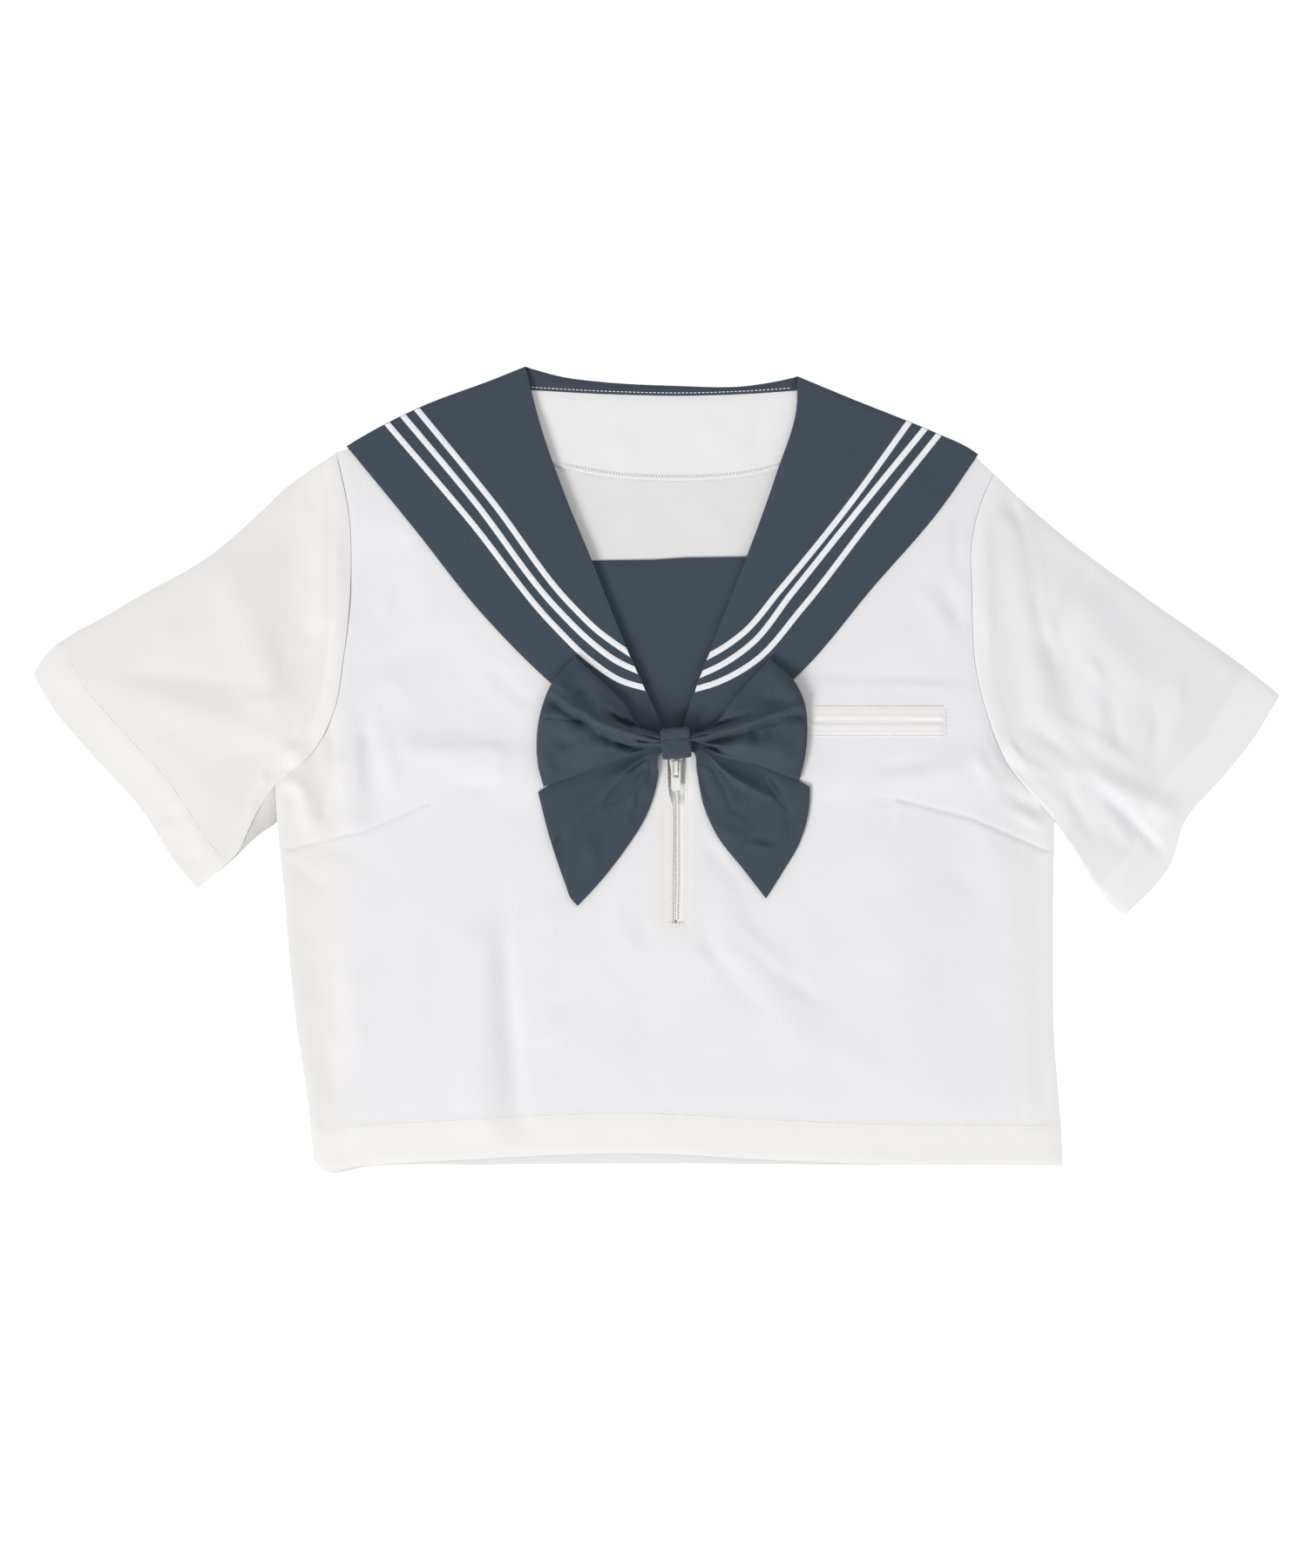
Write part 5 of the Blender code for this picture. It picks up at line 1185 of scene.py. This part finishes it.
def make_tail(side, look, rows=80, columns=56):
    """A bow tail: two layers turned out to a point, creased lengthways below the knot."""
    plan, u = bow_plan("tail", side, rows, columns)
    flat = plan.reshape(-1, 2)
    v = np.linspace(0.0, 1.0, columns)
    loop_edges = [edge("loop_" + part + "_" + side, 24) for part in ("top", "end", "base")]
    loop = np.concatenate([*loop_edges[:2], loop_edges[2][::-1]])
    free = smoothstep((distance_to(flat, loop) - 0.5) / 8.0)
    free = (free * smoothstep((distance_to(flat, KNOT_OUTLINE) - 0.5) / 5.0)).reshape(rows, columns)
    bottom = bow_level(flat, 0).reshape(rows, columns)
    folds = TAIL_FOLD_SHARE * crease_height(flat, TAIL_CREASES[side]).reshape(rows, columns)
    lift = np.maximum(free * (folds + 1.2), 0.0)
    lift += free * 0.12 * ripple(flat, 23.0, 1.5).reshape(rows, columns)
    to_edge = np.minimum(np.minimum(v, 1.0 - v)[None, :] * 60.0, (1.0 - u)[:, None] * 90.0)
    dip = 0.45 * bell(to_edge, 1.4)
    top = np.dstack([plan, bottom + lift + BOW_CLOTH - dip])
    low = np.dstack([plan, bottom + np.minimum(lift, np.maximum(lift - 0.2, 0.0)) + dip * 0.6])
    points, every = closed(top.reshape(-1, 3), low.reshape(-1, 3), grid_faces(rows, columns))
    return piece("tail_cloth_" + side, points, every, look, ["bow_tail_" + side])


def knot_ring(x, shrink, columns):
    """Points round the knot band at x along it, evenly spaced."""
    turn = np.linspace(0.0, 2.0 * math.pi, 4001)
    waist = 0.35 * (1.0 - (2.0 * x / KNOT_WIDTH) ** 2) - 0.2 - shrink
    c, s = np.cos(turn), np.sin(turn)
    across = (KNOT_DEPTH / 2 + waist) * np.sign(c) * np.abs(c) ** KNOT_SQUARENESS
    height = (KNOT_HEIGHT / 2 + waist) * np.sign(s) * np.abs(s) ** KNOT_SQUARENESS
    across, height = at_shares(np.c_[across, height], np.linspace(0.0, 1.0, columns + 1)[:-1]).T
    past_seam = across - (KNOT_SEAM_Y - KNOT_Y)
    upper = smoothstep(height / 2.0)
    height = height + upper * (0.35 * smoothstep((past_seam + 0.3) / 0.5) - 0.35 * bell(past_seam, 0.6))
    height = height + 0.12 * upper * np.sin(0.8 * across + 0.5 * x)
    middle = knot_bottom() + KNOT_HEIGHT / 2
    return np.array([(*turned(x, a), middle + h) for a, h in zip(across, height)])


def make_knot(look, rows=30, columns=130):
    """The band round the middle of the bow, with its overlap seam across the top."""
    outer, inner = [], []
    for x in np.linspace(-KNOT_WIDTH / 2, KNOT_WIDTH / 2, rows):
        roll = 0.5 * bell(KNOT_WIDTH / 2 - abs(x), 0.7)
        outer.append(knot_ring(x, roll, columns))
        inner.append(knot_ring(x * 0.99, roll + 0.7, columns))
    faces = grid_faces(rows, columns, ring=True)
    points, every = closed(np.concatenate(outer), np.concatenate(inner), faces)
    return piece("knot_cloth", points, every, look, ["bow_knot"])


def welt_surface(points):
    """The top of the pocket's welts, rolled along the mouth and pressed in beside it."""
    from_mouth = np.abs(points[:, 1] - POCKET_MOUTH_Y)
    roll = 0.12 * bell(from_mouth - 2.2, 1.6) - 0.4 * bell(from_mouth, 0.8)
    stitched = -0.2 * bell(from_mouth - 5.2, 0.8)
    return front_top(points) + SEAM_GAP + 0.25 + roll + stitched + 0.05 * ripple(points, 13.0, 0.5)


def make_welts(look):
    """The two welts of the pocket, meeting along its mouth."""
    made = []
    for name, x0, x1, low, high in WELTS:
        corners = np.array(((x0, low), (x1, low), (x1, high), (x0, high)))
        made.append(cloth(name + "_cloth", corners, 1.1, welt_surface, look, [name]))
    return made


def tubes(paths, radius, sides=6):
    """Points and faces of thin round-ended tubes along short paths."""
    points, faces = [], []
    turn = np.linspace(0.0, 2.0 * math.pi, sides, endpoint=False)
    for path in paths:
        path = np.asarray(path, float)
        way = np.gradient(path, axis=0)
        way /= np.maximum(np.linalg.norm(way, axis=1, keepdims=True), 1e-9)
        across = np.cross(way, (0.0, 0.0, 1.0))
        across /= np.maximum(np.linalg.norm(across, axis=1, keepdims=True), 1e-9)
        up = np.cross(across, way)
        share = np.linspace(-1.0, 1.0, len(path))
        thick = radius * np.sqrt(np.maximum(1.0 - np.abs(share) ** 4, 0.12))
        first = len(points)
        for p, a, b, t in zip(path, across, up, thick):
            points += [p + t * (math.cos(k) * a + math.sin(k) * b) for k in turn]
        for r in range(len(path) - 1):
            for c in range(sides):
                d = (c + 1) % sides
                base = first + r * sides
                faces.append((base + c, base + d, base + sides + d, base + sides + c))
        faces.append(tuple(first + c for c in reversed(range(sides))))
        faces.append(tuple(first + (len(path) - 1) * sides + c for c in range(sides)))
    return points, faces


def stitch_paths(line, pitch, stitch, surface, sink=0.02, rise=0.16):
    """One short arched path for each stitch along a line that lies on a surface."""
    fine = at_shares(np.asarray(line, float), np.linspace(0.0, 1.0, 400))
    run = length_along(fine)
    paths = []
    for start in np.arange(0.3, run[-1] - stitch, pitch):
        wanted = (start + np.linspace(0.0, stitch, 5)) / run[-1]
        plan = at_shares(fine, wanted)
        arch = sink + rise * np.sin(np.linspace(0.0, math.pi, 5))
        paths.append(np.c_[plan, surface(plan) + arch])
    return paths


def make_stitches(name, paths, radius, look):
    points, faces = tubes(paths, radius)
    return piece(name, points, faces, look)


def overlock_paths(line):
    """The zigzag of an overlocked edge."""
    run = length_along(line)
    foot, head = np.array([0.0, 0.3]), np.array([0.0, 3.1])
    paths = []
    for k, along in enumerate(np.arange(1.0, run[-1] - 1.5, 0.95)):
        a, b = at_shares(line, [along / run[-1], (along + 0.9) / run[-1]])
        ends = (a + foot, b + head) if k % 2 else (a + head, b + foot)
        plan = np.linspace(ends[0], ends[1], 4)
        paths.append(np.c_[plan, inlay_top(plan) + 0.5])
    return paths


def make_sewing(white, slate):
    """Every visible row of stitches, lying on the cloth that it sews."""
    hem = edge("front_hem", 200, 0.04, 0.99) + (0.0, HEM_DEPTH - 1.6)
    rows = stitch_paths(hem, 2.6, 1.9, front_surface)
    for side in ("right", "left"):
        cuff = moved(edge("cuff_" + side, 120, 0.03, 0.97), (0.0, 60.0), CUFF_DEPTH - 1.6)
        rows += stitch_paths(cuff, 2.6, 1.9, lambda p, side=side: sleeve_surface(p, side))
    right_x, left_x = PLACKET_XS
    placket = (((right_x, 2.0), (right_x, ZIP_END_Y)), ((left_x, 2.0), (left_x, ZIP_END_Y)))
    for line in (*placket, ((right_x, ZIP_END_Y), (left_x, ZIP_END_Y))):
        rows += stitch_paths(line, 2.4, 1.8, front_surface)
    for line in POCKET_ROWS:
        rows += stitch_paths(line, 2.4, 1.8, lambda p: front_top(p) + SEAM_GAP + 0.28)
    rows += stitch_paths(DART_RIGHT, 3.0, 1.4, front_surface, -0.1, 0.1)
    neck_rows = stitch_paths(edge("band_seam", 80, 0.01, 0.99) + (0.0, 1.6), 2.5, 1.8, band_top)
    knot_row = []
    for x in np.arange(-7.8, 7.6, 1.7):
        plan = [turned(x + s, KNOT_SEAM_Y - KNOT_Y - 0.9) for s in np.linspace(0.0, 1.15, 5)]
        knot_row.append([(px, py, knot_bottom() + KNOT_HEIGHT + 0.12) for px, py in plan])
    overlock = overlock_paths(edge("facing_hem", 200, 0.12, 0.90))
    return [
        make_stitches("stitches_body", rows, 0.21, white),
        make_stitches("stitches_neck", neck_rows, 0.24, white),
        make_stitches("overlock_facing", overlock, 0.32, white),
        make_stitches("stitches_knot", knot_row, 0.16, slate),
    ]


def coil_x(y):
    """The zip's middle: it drifts towards the wearer's left below the slider, and back near its end."""
    return ZIP_X + smoothstep((-6.0 - y) / 18.0) - 0.5 * smoothstep((-70.0 - y) / 20.0)


def make_coil(look):
    """The closed coil: turns from the two sides meet in the middle."""
    paths = []
    for k, y in enumerate(np.arange(COIL_TOP_Y, ZIP_END_Y + 2.0, -COIL_PITCH)):
        way = 1.0 if k % 2 else -1.0
        x = coil_x(y) + way * np.linspace(-0.5, 1.7, 6)
        level = inlay_top(np.array([(ZIP_X, y)]))[0] + 0.8 * zip_lift(y)
        z = level + 0.2 + 0.7 * np.sin(np.linspace(0.75, math.pi, 6))
        paths.append(np.c_[x, y + np.linspace(0.0, 0.3, 6), z])
    points, faces = tubes(paths, COIL_THREAD)
    return piece("coil_turns", points, faces, look, ["zip_coil"])


def joined(tree, node, name, value):
    """Sets a node's input to a value, or links it to the output of another node."""
    if isinstance(value, bpy.types.NodeSocket):
        tree.links.new(value, node.inputs[name])
    else:
        node.inputs[name].default_value = value


def added(tree, kind, settings=(), **inputs):
    """A new shader node. Each input takes a value, or the output of another node."""
    node = tree.nodes.new("ShaderNode" + kind)
    for name, value in dict(settings).items():
        setattr(node, name, value)
    for name, value in inputs.items():
        joined(tree, node, name.replace("_", " "), value)
    return node


def new_look(name, **inputs):
    """A new material with the inputs of its shader set, its node tree and its shader."""
    look = bpy.data.materials.new(name)
    look.use_nodes = True
    tree = look.node_tree
    shader = tree.nodes["Principled BSDF"]
    for key, value in inputs.items():
        joined(tree, shader, key.replace("_", " "), value)
    return look, tree, shader


def fabric(name, colour, shade, thread_mm, bump, sheen, twill=False, mottling=0.02):
    """Woven cloth: crossing threads in relief, a faint mottling and a soft sheen."""
    look, tree, shader = new_look(
        name, Roughness=0.9, Sheen_Weight=sheen, Sheen_Roughness=0.5, Specular_IOR_Level=0.25
    )
    where = added(tree, "TexCoord").outputs["Object"]
    slant = math.radians(38.0 if twill else 1.5)
    turn = added(tree, "Mapping", Vector=where, Rotation=(0.0, 0.0, slant)).outputs["Vector"]
    threads = []
    for direction, spacing in (("X", thread_mm), ("Y", thread_mm * (2.2 if twill else 1.0))):
        pitch = 2.0 * math.pi / (20.0 * spacing * MM)
        settings = {"bands_direction": direction}
        wave = added(tree, "TexWave", settings, Vector=turn, Scale=pitch, Distortion=0.8, Detail=1.0)
        threads.append(wave.outputs["Fac"])
    weave = added(tree, "Math", {"operation": "ADD"})
    joined(tree, weave, 0, threads[0])
    joined(tree, weave, 1, threads[1])
    fuzz = added(tree, "TexNoise", Vector=where, Scale=900.0, Detail=3.0)
    relief = added(tree, "Math", {"operation": "MULTIPLY_ADD"})
    for place, value in enumerate((fuzz.outputs["Fac"], 0.9, weave.outputs["Value"])):
        joined(tree, relief, place, value)
    rise = added(tree, "Bump", Strength=bump, Distance=0.15 * MM, Height=relief.outputs["Value"])
    joined(tree, shader, "Normal", rise.outputs["Normal"])
    patches = added(tree, "TexNoise", Vector=where, Scale=28.0, Detail=5.0)
    tone = added(tree, "ValToRGB", Fac=patches.outputs["Fac"])
    for stop, way, stop_colour in zip(tone.color_ramp.elements, (-1.0, 1.0), (shade, colour)):
        stop.position = 0.5 + way * 12.0 * mottling
        stop.color = (*stop_colour, 1.0)
    # The tint attribute: layering and tone of the cloth, with painted shade in deep folds, on sleeve
    # undersides and on the back
    tint_and_painted_shade = added(tree, "Attribute", {"attribute_name": "tint"}).outputs["Color"]
    tinted = added(tree, "Mix", {"data_type": "RGBA", "blend_type": "MULTIPLY"})
    tinted.inputs["Factor"].default_value = 1.0
    tree.links.new(tone.outputs["Color"], tinted.inputs["A"])
    tree.links.new(tint_and_painted_shade, tinted.inputs["B"])
    tree.links.new(tinted.outputs["Result"], shader.inputs["Base Color"])
    return look


def smooth_stuff(name, colour, rough, coat):
    """Moulded or enamelled stuff with a faint unevenness."""
    look, tree, shader = new_look(name, Base_Color=(*colour, 1.0), Coat_Weight=coat)
    where = added(tree, "TexCoord").outputs["Object"]
    wear = added(tree, "TexNoise", Vector=where, Scale=420.0, Detail=4.0).outputs["Fac"]
    spread = added(tree, "MapRange", Value=wear, To_Min=rough - 0.08, To_Max=rough + 0.12)
    joined(tree, shader, "Roughness", spread.outputs["Result"])
    rise = added(tree, "Bump", Strength=0.15, Distance=0.05 * MM, Height=wear)
    joined(tree, shader, "Normal", rise.outputs["Normal"])
    return look


def tint(made, shade_of):
    """Stores each point's tint: cloth over more layers, or over dark ones, looks lighter or darker, and
    painted shade darkens the bow's deep folds, the sleeves' undersides and the back.
    """
    mesh = made.data
    points = np.empty(len(mesh.vertices) * 3)
    mesh.vertices.foreach_get("co", points)
    points = points.reshape(-1, 3) / MM
    values = np.ones((len(points), 4))
    values[:, :3] = shade_of(points)
    layer = mesh.attributes.new("tint", "FLOAT_COLOR", "POINT")
    layer.data.foreach_set("color", values.astype(np.float32).ravel())


def plain_tint(points):
    return np.ones((len(points), 3))


def bow_painted_fold_shade(creases):
    """Painted shade: slate cloth is darkened deep in its folds."""

    def shade(points):
        depth = -crease_height(points[:, :2], creases)
        return np.tile(1.0 - FOLD_SHADE * smoothstep((depth - 1.5) / 2.0)[:, None], (1, 3))

    return shade


def cream_tint(points):
    return np.ones((len(points), 3)) - 0.5 * WARM


def front_tint(points):
    """Cream where the cloth is doubled, at the flanks and beside the zip."""
    doubled = smoothstep((inside_hem(points) + 0.4) / 0.8)
    side = smoothstep((points[:, 0] - 222.0) / 3.0) * (points[:, 1] < 0)
    single = 1.0 - np.maximum(doubled, 0.8 * side)
    flank = smoothstep((-178.0 - points[:, 0]) / 30.0) + 0.3 * smoothstep((points[:, 0] - 205.0) / 30.0)
    placket = np.exp(-(((points[:, 0] - ZIP_X) / 14.0) ** 4)) * smoothstep((points[:, 1] + 112.0) / 20.0)
    warm = np.clip(doubled + 0.8 * flank + 0.8 * placket, 0.0, 1.0)[:, None] * WARM
    return 1.0 - warm - single[:, None] * SINGLE_LAYER


def sleeve_tone_and_painted_shade(side):
    """The colour of a sleeve: lighter at the cuff and the seam, and darkened on its underside by painted
    shade.
    """
    cuff, armhole = edge("cuff_" + side, 40), edge("armhole_" + side, 40)

    def shade(points):
        doubled = smoothstep((CUFF_DEPTH + 0.4 - line_distance(points[:, :2], cuff)) / 0.8)
        seam = 1.0 - smoothstep((line_distance(points[:, :2], armhole) - 9.0) / 3.0)
        single = 1.0 - np.maximum(doubled, seam)
        # Painted shade: the sleeve's lower layer, seen at the underarm, is darkened
        light = np.where(points[:, 2] < back_bottom(points[:, :2]) + 0.9, UNDERSIDE_SHADE, 1.0)[:, None]
        return (1.0 - SLEEVE_WARMTH[side] * WARM - single[:, None] * SINGLE_LAYER) * light

    return shade


# Painted shade: the back, which lies under the front, is darkened all over
def back_painted_shade(points):
    return np.full((len(points), 3), BACK_SHADE)


def make_camera():
    """Straight above, framed as the photo is."""
    data = bpy.data.cameras.new("camera")
    data.lens = 36.0 * (CAMERA_HEIGHT - 5.0) / PICTURE_HEIGHT
    data.clip_end = 20.0
    camera = bpy.data.objects.new("camera", data)
    camera.location = Vector((CAMERA_X, CAMERA_Y, CAMERA_HEIGHT)) * MM
    bpy.context.scene.collection.objects.link(camera)
    bpy.context.scene.camera = camera


def make_floor():
    """A plain white floor, bright enough to vanish behind the cloth."""
    data = bpy.data.meshes.new("floor")
    half, level = 6.0, -0.0002
    corners = [(x, y, level) for x, y in ((-half, -half), (half, -half), (half, half), (-half, half))]
    data.from_pydata(corners, [], [(0, 1, 2, 3)])
    look, _, _ = new_look(
        "floor_white",
        Base_Color=(0.93, 0.93, 0.93, 1.0),
        Roughness=1.0,
        Specular_IOR_Level=0.0,
        Emission_Color=(1.0, 1.0, 1.0, 1.0),
        Emission_Strength=0.62,
    )
    data.materials.append(look)
    floor = bpy.data.objects.new("floor", data)
    bpy.context.scene.collection.objects.link(floor)


def make_lights():
    """A soft light from the lower left, a weaker one opposite, and even light all round."""
    for name, place, size, power in (
        ("key", (-2.75, -3.4, 3.4), 2.0, 205.0),
        ("fill", (1.3, 1.0, 1.9), 2.2, 7.0),
    ):
        data = bpy.data.lights.new(name, "AREA")
        data.size = size
        data.energy = power
        light = bpy.data.objects.new(name, data)
        light.location = place
        light.rotation_euler = (-Vector(place)).to_track_quat("-Z", "Y").to_euler()
        bpy.context.scene.collection.objects.link(light)
    world = bpy.data.worlds.new("studio")
    world.use_nodes = True
    background = world.node_tree.nodes["Background"]
    background.inputs["Color"].default_value = (1.0, 1.0, 1.0, 1.0)
    background.inputs["Strength"].default_value = 0.53
    bpy.context.scene.world = world
    bpy.context.scene.view_settings.view_transform = "Standard"


def softened(node, look, width):
    """A packed rigid piece that is shown, with its edges rounded and its own finish."""
    node.data.materials.clear()
    node.data.materials.append(look)
    bevel = node.modifiers.new("edges", "BEVEL")
    bevel.width = width * MM
    bevel.segments = 3
    bevel.limit_method = "ANGLE"
    bevel.angle_limit = math.radians(35.0)
    for face in node.data.polygons:
        face.use_smooth = True


def build_looks():
    make_camera()
    make_floor()
    make_lights()
    poplin = fabric("white_poplin", (0.865, 0.86, 0.865), (0.85, 0.845, 0.852), 0.42, 0.16, 0.08)
    slate = fabric("slate_twill", (0.055, 0.075, 0.100), (0.048, 0.066, 0.089), 0.45, 0.35, 0.06, twill=True)
    braid = fabric("white_braid", (0.93, 0.94, 0.97), (0.88, 0.89, 0.93), 0.5, 0.4, 0.1, mottling=0.015)
    thread = fabric("white_thread", (0.97, 0.97, 0.96), (0.93, 0.93, 0.92), 0.3, 0.3, 0.1)
    dark_thread = fabric("slate_thread", (0.035, 0.045, 0.06), (0.03, 0.04, 0.055), 0.3, 0.3, 0.1)
    nylon = smooth_stuff("white_nylon", (0.95, 0.95, 0.92), 0.4, 0.1)
    enamel = smooth_stuff("white_enamel", (0.84, 0.85, 0.82), 0.3, 0.5)

    back = make_back(poplin)
    front = make_front(poplin)
    sleeves = {side: make_sleeve(side, poplin) for side in ("right", "left")}
    facing, insert, *zip_tapes = make_inlays(poplin, slate)
    collar = make_collar(slate)
    braids = [make_tape(name, braid) for name in TAPES]
    welts = make_welts(poplin)
    bow = {}
    for side in ("right", "left"):
        bow["tail", side] = make_tail(side, slate)
        bow["loop", side] = make_loop(side, slate)
    knot = make_knot(slate)
    sewing = make_sewing(thread, dark_thread)
    coil = make_coil(nylon)
    softened(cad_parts["zip_slider"], enamel, 0.25)
    softened(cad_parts["zip_pull"], enamel, 0.3)

    for made in (facing, insert, collar, knot, coil, *braids, *sewing):
        tint(made, plain_tint)
    for made in (*zip_tapes, *welts):
        tint(made, cream_tint)
    # Painted shade deep in the bow's folds
    for (kind, side), made in bow.items():
        tint(made, bow_painted_fold_shade({"loop": LOOP_CREASES, "tail": TAIL_CREASES}[kind][side]))
    # Painted shade over the whole back
    tint(back, back_painted_shade)
    tint(front, front_tint)
    # Tone of each sleeve, with painted shade on its underside
    for side, made in sleeves.items():
        tint(made, sleeve_tone_and_painted_shade(side))


build_looks()
